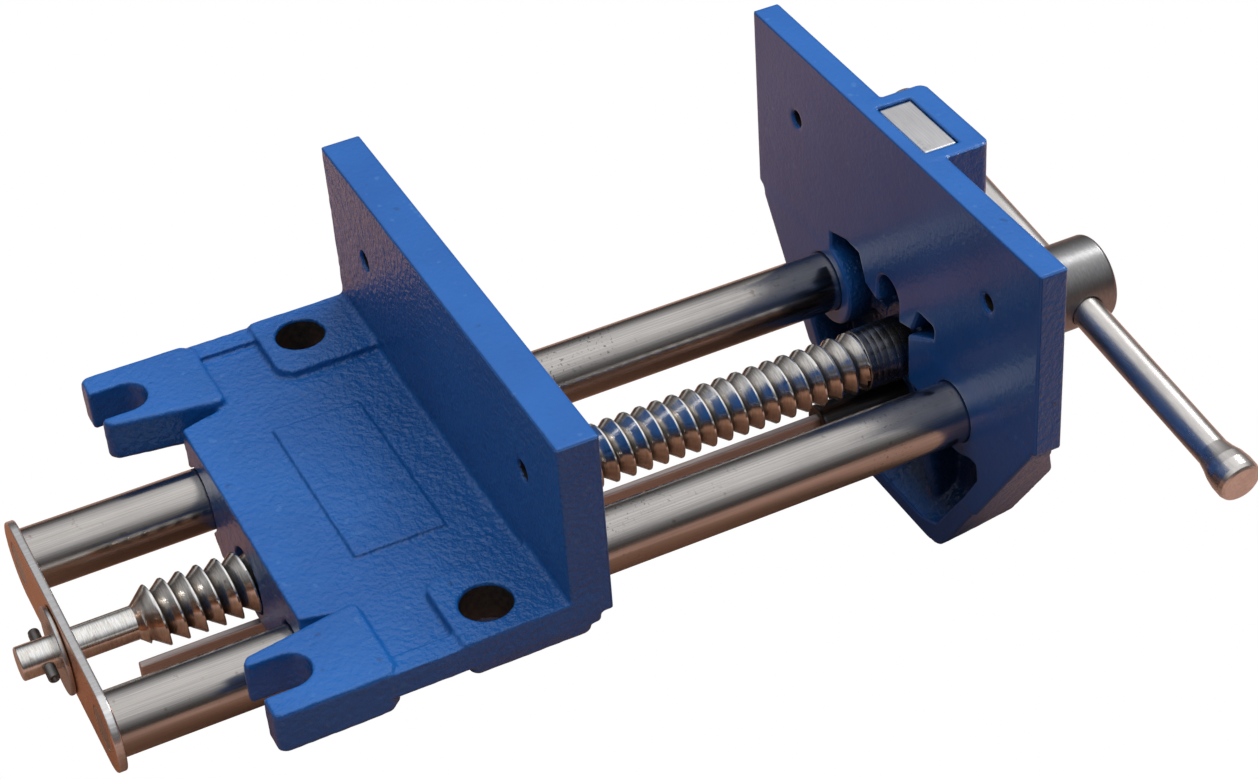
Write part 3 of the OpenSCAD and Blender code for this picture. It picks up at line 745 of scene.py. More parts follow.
def thread_metal(name):
    """Cut thread: bright crests, colour darker towards the roots."""
    m = Mat(name)
    x, y, z = m.sep()
    zz = m.math("ADD", z, -SCREW_Z / 1000.0)
    r = m.math("SQRT", m.math("ADD", m.math("MULTIPLY", x, x), m.math("MULTIPLY", zz, zz)))
    k = m.math("MULTIPLY", m.math("SUBTRACT", r, 0.0071), 1 / 0.0034, clamp=True)
    n = m.noise((420, 420, 420), 4, 0.6)
    turn = m.noise((260, 2600, 260), 3, 0.6)
    tail = m.math("MULTIPLY", m.math("SUBTRACT", y, 0.0835), 260.0, clamp=True)
    k = m.math("MAXIMUM", k, m.math("MULTIPLY", tail, 0.95))
    kk = m.math("ADD", k, m.math("MULTIPLY", m.math("SUBTRACT", n, 0.5), 0.35), clamp=True)
    col = m.ramp(kk, [(0.0, (0.10, 0.075, 0.06)), (0.16, (0.30, 0.27, 0.24)), (0.5, (0.74, 0.70, 0.65)), (0.93, (0.88, 0.85, 0.80)), (0.97, (0.95, 0.94, 0.92))])
    col = m.mix(m.ramp(turn, [(0.35, 0.35), (0.6, 0.0)]), col, (0.20, 0.18, 0.16))
    f = m.ramp(m.noise(230.0, 3, 0.6, (4, 2, 4)), [(0.64, 0.0), (0.75, 0.6)])
    col = m.mix(f, col, (0.17, 0.085, 0.035))
    rg = m.ramp(kk, [(0.0, 0.45), (0.3, 0.24), (1.0, 0.15)])
    nb = m.bump(turn, 0.00003, 0.6)
    return m.set(color=col, rough=rg, metal=1.0, normal=nb)


def tie_metal(name):
    """Mill-finished plate: warm tint on the flats, bright sheared edge with lines across its thickness."""
    m = Mat(name)
    s = m.noise((1200, 90, 1200), 4, 0.65)
    broad = m.noise((40, 40, 40), 4, 0.6, (2, 1, 6))
    nrm = m.n("ShaderNodeSeparateXYZ")
    m.put(nrm.inputs[0], m.n("ShaderNodeNewGeometry").outputs["Normal"])
    flat = m.math("MULTIPLY", m.math("SUBTRACT", m.math("ABSOLUTE", nrm.outputs[1]), 0.6), 4.0, clamp=True)
    edge = m.mix(m.ramp(s, [(0.35, 0.0), (0.65, 1.0)]), (0.70, 0.69, 0.68), (0.84, 0.84, 0.84))
    face = m.mix(m.ramp(broad, [(0.35, 0.0), (0.65, 1.0)]), (0.72, 0.40, 0.24), (0.90, 0.56, 0.36))
    x, y, z = m.sep()
    dx = m.math("SUBTRACT", m.math("ABSOLUTE", x), ROD_X / 1000.0)
    dz = m.math("ADD", z, -ROD_Z / 1000.0)
    rr = m.math("SQRT", m.math("ADD", m.math("MULTIPLY", dx, dx), m.math("MULTIPLY", dz, dz)))
    ring = m.ramp(m.math("MULTIPLY", rr, 100.0), [(0.66, 0.0), (0.69, 0.75), (0.72, 0.75), (0.76, 0.0)])
    face = m.mix(ring, face, (0.12, 0.07, 0.045))
    col = m.mix(flat, edge, face)
    rg = m.ramp(s, [(0.3, 0.36), (0.7, 0.24)])
    nb = m.bump(s, 0.00004, 0.7)
    return m.set(color=col, rough=rg, metal=1.0, normal=nb)


PAINT_R = paint("cast_paint_rear", 1.0, 1.0)
PAINT_F = paint("cast_paint_front", 7.0, -1.0, 0.16)
# enamel with painted shade for the faces inside the cored hollow
PAINT_CORE_SHADE = paint("cast_paint_front_core_shade", 7.0, -1.0, 0.12, True)
GROUND = metal("ground_steel", (0.58, 0.55, 0.525), (0.12, 0.21), (2400, 22, 2400), 1.0, (0.43, 0.405, 0.385), 2.0, rust=0.5, pits=0.75)
THREAD = thread_metal("thread_steel")
PLATED = metal("plated_steel", (0.75, 0.71, 0.68), (0.25, 0.34), (120, 900, 900), 0.5, (0.64, 0.61, 0.585), 5.0, bump=0.00001, spots=0.05)
HEADM = metal("head_steel", (0.31, 0.306, 0.31), (0.31, 0.39), (500, 1800, 500), 0.7, (0.255, 0.252, 0.252), 6.0, bump=0.000012, spots=0.1)
ZINC = metal("zinc_steel", (0.64, 0.64, 0.65), (0.2, 0.32), (600, 600, 600), 0.6, (0.5, 0.5, 0.5), 3.0)
ROLLED = metal("rolled_steel", (0.86, 0.78, 0.76), (0.34, 0.46), (1500, 40, 1500), 0.8, (0.70, 0.61, 0.585), 4.0)
TIE = tie_metal("tie_steel")
DOG = metal("dog_steel", (0.93, 0.92, 0.925), (0.32, 0.44), (90, 1500, 90), 1.0, (0.68, 0.68, 0.685), 8.0, rust=0.2)
SPRING = metal("spring_steel", (0.22, 0.21, 0.205), (0.25, 0.4), (700, 700, 700), 0.6, (0.2, 0.19, 0.18), 9.0)
DARK = metal("dark_steel", (0.085, 0.083, 0.082), (0.28, 0.42), (1600, 60, 1600), 0.8, (0.05, 0.048, 0.046), 10.0)
COLLAR = metal("collar_steel", (0.46, 0.45, 0.45), (0.16, 0.26), (260, 2600, 260), 0.8, (0.20, 0.19, 0.185), 12.0)
NUT = metal("nut_metal", (0.26, 0.25, 0.235), (0.38, 0.55), (500, 500, 500), 1.0, (0.17, 0.16, 0.15), 11.0)

# near-black colour for hole walls: painted shade, not the iron's own colour
HOLE_SHADE = Mat("hole_shade_black")
HOLE_SHADE.set(color=HOLE_SHADE.ramp(HOLE_SHADE.noise(500.0, 3, 0.6), [(0.35, (0.010, 0.010, 0.012)), (0.7, (0.035, 0.028, 0.024))]), rough=0.55, spec=0.25, metal=0.0)
HOLE_SHADE = HOLE_SHADE.m

# ------------------------------------------------------------------ castings
H = 0.72
rear = casting("rear_jaw_casting", rear_f, (-93, -2.5, -63.5), (93, 109, 61), H, rear_rough, [PAINT_R, HOLE_SHADE])
# the walls of the bolt holes and of the lining screw holes are near black: painted shade inside the holes
nf = len(rear.data.polygons)
ctr = np.zeros(nf * 3)
rear.data.polygons.foreach_get("center", ctr)
ctr = ctr.reshape(-1, 3) * 1000.0
hole = (np.hypot(np.abs(ctr[:, 0]) - 75.4, ctr[:, 1]) < 8.45) & (ctr[:, 2] < -1.0) & (ctr[:, 2] > -14.2)
hole |= (np.hypot(np.abs(ctr[:, 0]) - 61, ctr[:, 2] - 30.5) < 3.75) & (ctr[:, 1] > -33.2) & (ctr[:, 1] < -22.0)
rear.data.polygons.foreach_set("material_index", hole.astype(np.int32))
print("bolt hole faces", int(hole.sum()))
done(rear, "rear_jaw", "cast_paint", "rear_jaw")
front = casting("front_jaw_casting", front_f, (-93, -188.5, -95.5), (93, -143, 61), H, front_rough, [PAINT_F, PAINT_CORE_SHADE, HOLE_SHADE])
# faces inside the cored back take the enamel with painted shade, darker with depth
nf = len(front.data.polygons)
ctr = np.zeros(nf * 3)
nrm = np.zeros(nf * 3)
front.data.polygons.foreach_get("center", ctr)
front.data.polygons.foreach_get("normal", nrm)
ctr = ctr.reshape(-1, 3) * 1000.0
nrm = nrm.reshape(-1, 3)
core_shade = (poly2(np.abs(ctr[:, 0]), ctr[:, 2], CORE) < 1.2) & (ctr[:, 1] < -180.25) & (nrm[:, 1] > -0.35)
core_shade |= (np.abs(ctr[:, 0]) < 8.2) & (ctr[:, 2] < 3) & (ctr[:, 1] < -180.25) & (nrm[:, 1] > -0.35)
slot = core_shade.astype(np.int32)
# the front lining screw holes take the same near-black painted shade
slot[(np.hypot(np.abs(ctr[:, 0]) - 61, ctr[:, 2] - 30.5) < 3.3) & (ctr[:, 1] < -181.6) & (ctr[:, 1] > -188.5)] = 2
front.data.polygons.foreach_set("material_index", slot)
print("core faces", int(core_shade.sum()), "of", nf)
done(front, "front_carriage", "cast_paint", "front_jaw")

# ------------------------------------------------------------------ guide rods, cross pins, tie plate
for side, nm in ((-1, "left_guide_rod"), (1, "right_guide_rod")):
    pr = soft([(FJ - 19.7, 0), (FJ - 19.7, 10.5, 0.8), (143.4, 10.5, 0.35), (143.4, 7.0, 0), (146.35, 7.0, 0.5), (146.35, 0)], 0.4)
    body = []
    for i in range(len(pr) - 1):
        body.append(pr[i])
        if pr[i + 1][0] - pr[i][0] > 60:
            body += [(pr[i][0] + (pr[i + 1][0] - pr[i][0]) * k / 60.0, pr[i][1]) for k in range(1, 60)]
    body.append(pr[-1])

    def wear(t, a, s=side):
        return 0.018 * np.sin(t * 0.11 + s) * np.sin(a * 2 + s) + 0.012 * np.sin(t * 0.047 + a * 3)
    ob = lathe(nm + "_bar", body, (side * ROD_X, 0, ROD_Z), (0, 1, 0), 96, [GROUND], wob=wear)
    done(ob, "front_carriage", "ground_steel", nm)
pins = [lathe_parts(soft([(-44.0, 0), (-44.0, 2.5, 0.4), (-14.8, 2.5, 0.4), (-14.8, 0)], 0.4), (s * ROD_X, FJ - 13, 0), (0, 0, 1), 32)
        for s in (-1, 1)]
done(merged("rod_cross_pins_turned", pins, [ZINC]), "front_carriage", "zinc_steel", "rod_cross_pins")


def tie_f(x, y, z):
    a = np.maximum(np.abs(x) - 42, 0)
    d = iround(np.sqrt(a ** 2 + (z + 25.9) ** 2) - 13.95, slabd(y, 143.55, 146.45), 0.55)
    r = np.sqrt((np.abs(x) - ROD_X) ** 2 + (z - ROD_Z) ** 2)
    d = cut(d, r - 7.02, 0.25)
    return cut(d, np.sqrt(x ** 2 + (z - SCREW_Z) ** 2) - 5.7, 0.3)


def tie_rough(P, g):
    edge = np.abs(g[:, 1]) < 0.5
    lines = vnoise(P * np.array([1.0, 0.12, 1.0]), 0.8, 21)
    return np.where(edge, 0.018, 0.010) * lines + 0.02 * vnoise(P, 5.0, 22)


done(solid("tie_plate_sheared", tie_f, (-58, 142, -42), (58, 148, -10), 0.42, [TIE], tie_rough),
     "front_carriage", "rolled_steel", "tie_plate")
ring = soft([(-188.08, 8.06), (-188.08, 13.5), (-186.02, 13.5), (-186.02, 8.06)], 0.35, closed=True)
done(lathe("thrust_washer_turned", ring, (0, 0, SCREW_Z), (0, 1, 0), 96, [ZINC], closed=True), "front_carriage", "zinc_steel", "thrust_washer")

# ------------------------------------------------------------------ lead screw
TOOTH = [(0.0, 7.1), (0.06, 7.35), (0.44, 10.42), (0.50, 10.5), (1.04, 10.5), (1.10, 10.45),
         (1.6, 10.06), (2.4, 9.46), (3.3, 8.80), (4.2, 8.13), (4.95, 7.57), (5.45, 7.16), (5.6, 7.1)]
THREAD_Y0 = -139.36


def thread_parts(ya, yb, seg):
    """A right-hand thread, cut off by a collar at ya and running out into the tail near yb."""
    turns = int((yb - THREAD_Y0) / PITCH) + 3
    ty = np.array([t[0] for t in TOOTH])
    tr = np.array([t[1] for t in TOOTH])
    R = len(TOOTH)
    t = np.arange(-2, turns + 1)
    K = len(t) * R
    ys = (THREAD_Y0 + PITCH * t[:, None] + ty[None, :]).ravel()
    rs = np.tile(tr, len(t))
    rng = np.random.RandomState(5)
    V = np.zeros((seg, K, 3))
    for j in range(seg):
        a = 2 * math.pi * j / seg
        y = ys + PITCH * j / seg
        env = np.interp(y, [ya, yb - 6.8, yb - 5.6, yb - 1.0, yb], [10.5, 10.5, 10.3, 6.3, 5.5])
        worn = 0.02 * np.sin(y * 1.9 + 2 * a) + 0.015 * np.sin(y * 0.37 - a)
        r = np.minimum(rs + worn, env)
        r = np.where(y < ya, 6.9, r)
        r = np.where(y >= yb, 5.5, r)
        y = np.clip(y, ya, yb)
        V[j] = np.stack([r * math.sin(a), y, SCREW_Z + r * math.cos(a)], 1)
    idx = np.arange(seg * K).reshape(seg, K)
    q = []
    for j in range(seg - 1):
        q.append(np.stack([idx[j, :-1], idx[j, 1:], idx[j + 1, 1:], idx[j + 1, :-1]], 1))
    q.append(np.stack([idx[seg - 1, :K - 1 - R], idx[seg - 1, 1:K - R], idx[0, R + 1:], idx[0, R:K - 1]], 1))
    return V.reshape(-1, 3), np.concatenate(q)


YB = 122.6
SEG = 120


def turned_z(prof, seg):
    """Turned rings whose points start at +Z and go towards +X, like the thread's own columns."""
    A = np.arange(seg) * 2 * math.pi / seg
    T = np.array([p[0] for p in prof])
    R = np.array([p[1] for p in prof])
    V = np.stack([R[:, None] * np.sin(A), T[:, None] + 0 * A, SCREW_Z + R[:, None] * np.cos(A)], 2)
    n = len(prof)
    j = np.arange(seg)
    q = [np.stack([i * seg + j, i * seg + (j + 1) % seg, (i + 1) * seg + (j + 1) % seg, (i + 1) * seg + j], 1) for i in range(n - 1)]
    return V.reshape(-1, 3), np.concatenate(q)


V, Q = thread_parts(-133.5, YB, SEG)
tail = soft([(YB, 5.5), (159.95, 5.5, 0.7), (159.95, 0)], 0.7)
mids = [(-205, 0), (-205, 8.0), (-153.1, 8.0, 0), (-153.1, 10.6, 0.4)]
for gy in (-147.2, -144.1, -141.0, -138.4, -136.2):
    mids += [(gy - 0.3, 10.6, 0.1), (gy, 10.565, 0.1), (gy + 0.3, 10.6, 0.1)]
mids += [(-133.4, 10.6, 0.5), (-133.4, 7.3), (-135.5, 0)]
screw = merged("lead_screw_thread", [(V, Q), turned_z(tail, SEG), turned_z([(-133.5, 6.9), (-136.5, 6.9), (-136.5, 0)], SEG)], [THREAD])
screw.data.set_sharp_from_angle(angle=math.radians(27))
done(screw, "screw", "thread_steel", "lead_screw")
collar = lathe("lead_screw_collar", soft(mids, 0.3), (0, 0, SCREW_Z), (0, 1, 0), 96, [COLLAR])
done(collar, "screw", "thread_steel", "lead_screw")


# ------------------------------------------------------------------ screw head, pins, washer
TILT = math.radians(7.2)
HD = (math.cos(TILT), 0, math.sin(TILT))
HY = -216.2


def head_f(x, y, z):
    zz = z - SCREW_Z
    r = np.sqrt(x ** 2 + zz ** 2)
    d = iround(r - 15.2, slabd(y, -228.5, -188.2), 0.5)
    ch = (r - 15.2 + np.maximum(-227.5 - y, y + 189.2)) * 0.7071
    d = iround(d, ch, 0.4)
    u = x * HD[0] + zz * HD[2]
    w = -x * HD[2] + zz * HD[0]
    hole = np.sqrt((y - HY) ** 2 + w ** 2) - 5.78
    d = cut(d, hole, 0.8)
    return cut(d, np.maximum(r - 8.0, -205.2 - y), 0.2)


done(solid("screw_head_turned", head_f, (-17, -230.5, SCREW_Z - 17), (17, -186.5, SCREW_Z + 17), 0.36, [HEADM]),
     "screw", "plated_steel", "screw_head")
hp = soft([(SCREW_Z - 14.9, 0), (SCREW_Z - 14.9, 2.5, 0.5), (SCREW_Z + 14.9, 2.5, 0.5), (SCREW_Z + 14.9, 0)], 0.5)
done(lathe("head_pin_turned", hp, (0, -196.2, 0), (0, 0, 1), 40, [SPRING]), "screw", "zinc_steel", "head_pin")
ring = soft([(146.62, 5.55), (146.62, 14.6, 0.55), (148.3, 14.6, 0.55), (148.3, 5.55)], 0.2, closed=True)
done(lathe("tail_washer_pressed", ring, (0, 0, SCREW_Z), (0, 1, 0), 96, [ZINC], closed=True), "screw", "zinc_steel", "tail_washer")


def roll_parts():
    """A rolled pin: a C section with its slot to the rear, chamfered ends."""
    seg, L = 40, 10.5
    st = [(-L, 1.62), (-L + 0.12, 1.74), (-L + 0.7, 1.9), (L - 0.7, 1.9), (L - 0.12, 1.74), (L, 1.62)]
    d, u, v = frame_of(HD)
    gap = 0.30
    A = np.linspace(gap, 2 * math.pi - gap, seg)
    o = np.array([0, 151.8, SCREW_Z])
    e1 = np.array([0, 1.0, 0])
    e2 = np.cross(d, e1)
    rows = []
    for t, r in st:
        rows.append(o + d * t + r * (np.cos(A)[:, None] * e1 + np.sin(A)[:, None] * e2))
    for t, r in ((L, 1.15), (-L, 1.15)):
        rows.append(o + d * t + r * (np.cos(A)[:, None] * e1 + np.sin(A)[:, None] * e2))
    V = np.array(rows)
    n = len(rows)
    q = []
    for i in range(n):
        k = (i + 1) % n
        for j in range(seg - 1):
            q.append((i * seg + j, i * seg + j + 1, k * seg + j + 1, k * seg + j))
    ends = []
    for j in (0, seg - 1):
        ring = [i * seg + j for i in range(n)]
        # outer run rows 0..5, inner rows 6, 7
        q.append((ring[0], ring[1], ring[6], ring[7]))
        q.append((ring[1], ring[2], ring[3], ring[6]))
        q.append((ring[3], ring[4], ring[5], ring[6]))
    return V.reshape(-1, 3), np.array(q)


done(merged("tail_roll_pin_rolled", [roll_parts()], [SPRING]), "screw", "spring_steel", "tail_roll_pin")

# ------------------------------------------------------------------ handle
HO = np.array([0, HY, SCREW_Z]) + np.array(HD) * 3.0
hl = 108.5
bulb = [(-hl, 0), (-hl, 6.4, 0.7), (-hl + 0.7, 7.4, 0.6), (-hl + 2.2, 7.9, 1.2), (-hl + 6, 7.9, 3), (-hl + 9.4, 7.4, 3), (-hl + 12.6, 6.4, 3),
        (-hl + 16, 5.7, 3), (hl - 16.1, 5.7, 0.3), (hl - 16.1, 4.0, 0), (hl - 6.2, 4.0, 0.3), (hl - 6.2, 0)]
pr = soft(bulb, 0.5)
bar = []
for i in range(len(pr) - 1):
    bar.append(pr[i])
    if pr[i + 1][0] - pr[i][0] > 60:
        bar += [(pr[i][0] + (pr[i + 1][0] - pr[i][0]) * k / 40.0, pr[i][1]) for k in range(1, 40)]
bar.append(pr[-1])


def hammered(t, a):
    w = np.exp(-((t + hl - 9) / 8.0) ** 2)
    return w * (0.025 * np.sin(a * 3 + t * 0.5) + 0.02 * np.sin(a * 5 - t * 0.3)) + 0.008 * np.sin(t * 0.2 + a)


done(lathe("handle_bar_upset", bar, HO, HD, 96, [PLATED], wob=hammered), "handle", "plated_steel", "handle_bar")
knob = [(hl, 0), (hl, 6.4, 0.7), (hl - 0.7, 7.4, 0.6), (hl - 2.2, 7.9, 1.2), (hl - 6, 7.9, 3), (hl - 9.4, 7.4, 3), (hl - 12.6, 6.6, 2),
        (hl - 15.95, 6.2, 0.5), (hl - 15.95, 4.05, 0.1), (hl - 6.0, 4.05, 0.1), (hl - 6.0, 0)]
done(lathe("handle_knob_pressed", soft(knob, 0.5), HO, HD, 96, [PLATED]), "handle", "plated_steel", "handle_knob")


# ------------------------------------------------------------------ dog and its spring
def dog_f(x, y, z):
    d = rbox(x, y, z, -14.4, 14.4, FJ - 17.4, FJ - 5.8, 7.05, 57.8, 0.45)
    return cut(d, rbox(x, y, z, -5, 5, FJ - 7.1, FJ - 4, 10, 44, 0.2), 0.25)


def dog_rough(P, g):
    n = vnoise(P * np.array([0.25, 1.6, 0.25]), 1.0, 31)
    return 0.012 * n + 0.03 * vnoise(P, 6.0, 32)


done(solid("bench_dog_ground", dog_f, (-16, FJ - 19, 5.5), (16, FJ - 4, 59.5), 0.4, [DOG], dog_rough), "dog", "dog_steel",
     "bench_dog")


def strip_parts(path, x0, x1, th):
    """A thin strip bent along a path in y and z."""
    P = np.array(path, float)
    T = np.gradient(P, axis=0)
    T /= np.linalg.norm(T, axis=1)[:, None]
    N = np.stack([T[:, 1], -T[:, 0]], 1)
    A, B = P + N * th / 2, P - N * th / 2
    rows = []
    e = 0.12
    for xx, s in ((x0, 1 - e), (x0 + e, 1.0), (x1 - e, 1.0), (x1, 1 - e)):
        rows.append(np.stack([np.full(len(P), xx), P[:, 0] + N[:, 0] * th / 2 * s, P[:, 1] + N[:, 1] * th / 2 * s], 1))
    for xx, s in ((x1, 1 - e), (x1 - e, 1.0), (x0 + e, 1.0), (x0, 1 - e)):
        rows.append(np.stack([np.full(len(P), xx), P[:, 0] - N[:, 0] * th / 2 * s, P[:, 1] - N[:, 1] * th / 2 * s], 1))
    V = np.array(rows)
    n, k = len(rows), len(P)
    q = []
    for i in range(n):
        m = (i + 1) % n
        for j in range(k - 1):
            q.append((i * k + j, i * k + j + 1, m * k + j + 1, m * k + j))
    for j in (0, k - 1):
        r = [i * k + j for i in range(n)]
        q += [(r[0], r[1], r[6], r[7]), (r[1], r[2], r[5], r[6]), (r[2], r[3], r[4], r[5])]
    return V.reshape(-1, 3), np.array(q)


zs = np.linspace(11.0, 43.0, 40)
path = [(FJ - 6.75 + 1.35 * 0.5 * (1 - math.cos(2 * math.pi * max(0.0, min(1.0, (z - 12) / 30.0)))), z) for z in zs]
done(merged("dog_leaf_spring_bent", [strip_parts(path, -4, 4, 0.55)], [SPRING]), "dog", "spring_steel", "dog_leaf_spring")


# ------------------------------------------------------------------ quick release
def bar_f(x, y, z):
    return rbox(x, y, z, -1.4, 1.4, FJ + 14, 124, REL_Z - 4.2, REL_Z + 4.2, 0.45)


def bar_rough(P, g):
    return 0.02 * vnoise(P * np.array([1, 0.06, 1]), 1.2, 41) + 0.03 * vnoise(P, 9.0, 42)


done(solid("release_bar_drawn", bar_f, (-2.6, FJ + 12.6, REL_Z - 5.6), (2.6, 125.4, REL_Z + 5.6), 0.42, [ROLLED], bar_rough),
     "release", "rolled_steel", "release_bar")
LEVER_Y = -179.5
sh = soft([(LEVER_Y - 5, 0), (LEVER_Y - 5, 4.5, 0.6), (FJ - 20.2, 4.5, 0), (FJ - 20.2, 7.0, 0.4), (FJ + 27.4, 7.0, 0.8), (FJ + 27.4, 0)], 0.4)


def shaft_f(x, y, z):
    r = np.sqrt(x ** 2 + (z - REL_Z) ** 2)
    d = iround(r - 7.0, slabd(y, FJ - 20.2, FJ + 27.4), 0.8)
    d = np.minimum(d, iround(r - 4.5, slabd(y, LEVER_Y - 5, FJ - 15), 0.5))
    return cut(d, np.maximum(np.maximum(np.abs(x) - 1.45, np.abs(z - REL_Z) - 4.3), FJ + 14 - y), 0.15)


done(solid("trigger_shaft_turned", shaft_f, (-8.5, LEVER_Y - 6.5, REL_Z - 8.5), (8.5, FJ + 29, REL_Z + 8.5), 0.4, [DARK]),
     "release", "dark_steel", "trigger_shaft")
rv = [lathe_parts(soft([(-7.3, 0), (-7.25, 1.2, 0.1), (-6.95, 1.9, 0.3), (-6.6, 1.9, 0.1), (-6.6, 1.5, 0), (6.6, 1.5, 0), (6.6, 1.9, 0.1), (6.95, 1.9, 0.3),
                        (7.25, 1.2, 0.1), (7.3, 0)], 0.1), (0, y, REL_Z), (1, 0, 0), 28) for y in (FJ + 17.5, FJ + 24)]
done(merged("bar_rivets_set", rv, [ZINC]), "release", "zinc_steel", "bar_rivets")
ARM = [(0, -57), (16, -55), (33, -48), (46, -36), (53, -22), (46, -19), (38, -32), (28, -41), (14, -46.5), (4, -43.5)]


def lever_f(x, y, z):
    r = np.sqrt(x ** 2 + (z - REL_Z) ** 2)
    d = iround(r - 7.8, slabd(y, LEVER_Y - 4.4, LEVER_Y + 4.4), 0.9)
    arm = iround(rpoly(x, z, ARM, 2.2), slabd(y, LEVER_Y - 3, LEVER_Y + 3), 1.3)
    d = uround(d, arm, 1.6)
    e = np.sqrt((x - 49.3) ** 2 + (z + 20.5) ** 2)
    d = uround(d, iround(e - 5.5, slabd(y, LEVER_Y - 4.2, LEVER_Y + 4.2), 1.8), 1.6)
    return cut(d, r - 4.52, 0.3)


done(solid("trigger_lever_cast", lever_f, (-10, LEVER_Y - 6, -60), (57, LEVER_Y + 6, -13), 0.45, [DARK],
           lambda P, g: 0.05 * vnoise(P, 1.4, 51)), "release", "dark_steel", "trigger_lever")
lp = soft([(-7.6, 0), (-7.6, 1.2, 0.25), (7.6, 1.2, 0.25), (7.6, 0)], 0.25)
done(lathe("lever_pin_set", lp, (0, LEVER_Y, REL_Z), (1, 0, 0), 24, [ZINC]), "release", "zinc_steel", "lever_pin")


def cam_f(x, y, z):
    zz = z - REL_Z
    r = np.sqrt(x ** 2 + zz ** 2)
    d = iround(r - 7.55, slabd(y, 27.8, 33), 0.4)
    d = np.minimum(d, iround(r - 10.2, slabd(y, 32.1, 37.9), 0.5))
    cx, cz = 8 * math.cos(math.radians(15)), 8 * math.sin(math.radians(15))
    d = np.minimum(d, iround(np.sqrt((x - cx) ** 2 + (zz - cz) ** 2) - 2.0, slabd(y, 36, 43.5), 0.4))
    return cut(d, np.maximum(np.abs(x) - 1.55, np.abs(zz) - 4.35), 0.2)


done(solid("release_cam_turned", cam_f, (-12, 26.5, REL_Z - 12), (12, 45, REL_Z + 12), 0.4, [DARK]), "cam", "dark_steel",
     "release_cam")


def nut_f(x, y, z):
    zz = z - SCREW_Z
    d = rbox(x, y, z, -16, 16, 38.2, 62.1, REL_Z - 7, SCREW_Z - 3.5, 0.7)
    r = np.sqrt(x ** 2 + zz ** 2)
    ph = (y - (THREAD_Y0 + PITCH * np.arctan2(x, zz) / (2 * math.pi))) % PITCH
    gap = np.interp(ph, [0, 0.2, 1.2, 5.45, PITCH - 0.35, PITCH], [9.8, 11, 11, 7.6, 7.6, 9.8])
    low = np.maximum(np.abs(x) - 8.6, zz + 5.5)
    rr = np.where(low < 0, gap, 10.95)
    d = np.maximum(d, rr - r)
    d = cut(d, rbox(x, y, z, -4.9, 4.9, 30, 70, REL_Z - 4.8, REL_Z + 8.7, 0.6), 0.3)
    d = cut(d, rbox(x, y, z, 5.3, 10.7, 30, 44.2, REL_Z + 2.07 - 2.2, REL_Z + 2.07 + 2.2, 0.3), 0.2)
    s = np.sqrt((np.abs(x) - 11.5) ** 2 + (y - 50) ** 2)
    return cut(d, np.maximum(s - 3.1, z - (REL_Z - 2.8)), 0.2)


done(solid("half_nut_cut", nut_f, (-17.5, 36.8, REL_Z - 8.5), (17.5, 63.5, SCREW_Z - 2), 0.42, [NUT]), "half_nut", "nut_metal",
     "half_nut")


def coil_parts(cx, cy, z0, z1, rm, rw, turns):
    n, k = int(turns * 26), 10
    t = np.linspace(0, 1, n)
    end = 0.12
    s = np.clip((t - end) / (1 - 2 * end), 0, 1)
    zc = z0 + rw + (z1 - z0 - 2 * rw) * (s * 0.86 + 0.07 * np.clip(t / end, 0, 1) + 0.07 * np.clip((t - 1 + end) / end, 0, 1))
    a = 2 * math.pi * turns * t
    C = np.stack([cx + rm * np.cos(a), cy + rm * np.sin(a), zc], 1)
    T = np.gradient(C, axis=0)
    T /= np.linalg.norm(T, axis=1)[:, None]
    N = np.stack([np.cos(a), np.sin(a), 0 * a], 1)
    B = np.cross(T, N)
    g = np.arange(k) * 2 * math.pi / k
    V = C[:, None, :] + rw * (np.cos(g)[None, :, None] * N[:, None, :] + np.sin(g)[None, :, None] * B[:, None, :])
    V = np.concatenate([V.reshape(-1, 3), C[:1], C[-1:]])
    q = []
    for i in range(n - 1):
        for j in range(k):
            m = (j + 1) % k
            q.append((i * k + j, i * k + m, (i + 1) * k + m, (i + 1) * k + j))
    for j in range(k):
        m = (j + 1) % k
        q.append((j, m, n * k, n * k))
        q.append(((n - 1) * k + j, (n - 1) * k + m, n * k + 1, n * k + 1))
    q = np.array(q)
    quads = q[q[:, 2] != q[:, 3]]
    tris = q[q[:, 2] == q[:, 3]][:, :3]
    return V, quads, tris


V, Q, T3 = [], [], []
base = 0
for s in (-1, 1):
    v, q, t3 = coil_parts(s * 11.5, 50, -61.0, -52.55, 2.3, 0.38, 6.5)
    V.append(v)
    Q.append(q + base)
    T3.append(t3 + base)
    base += len(v)
coils = tidy(mesh_obj("half_nut_springs_coiled", np.concatenate(V), np.concatenate(Q), np.concatenate(T3), mats=[SPRING]))
done(coils, "rear_jaw", "spring_steel", "half_nut_springs")
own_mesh(coils)


# ------------------------------------------------------------------ nut cover and its screws
def cover_f(x, y, z):
    d = iround(rpoly(x, y, [(-24, 27.5), (24, 27.5), (24, 66.5), (-24, 66.5)], 2.0), slabd(z, -64, -61.02), 0.5)
    q = np.sqrt((np.abs(x) - 20) ** 2 + (np.abs(y - 47) - 16) ** 2)
    return cut(d, q - 2.3, 0.2)


done(solid("nut_cover_pressed", cover_f, (-25.5, 26, -65.5), (25.5, 68, -59.5), 0.42, [DARK],
           lambda P, g: 0.02 * vnoise(P, 3.0, 61)), "rear_jaw", "dark_steel", "nut_cover_plate")


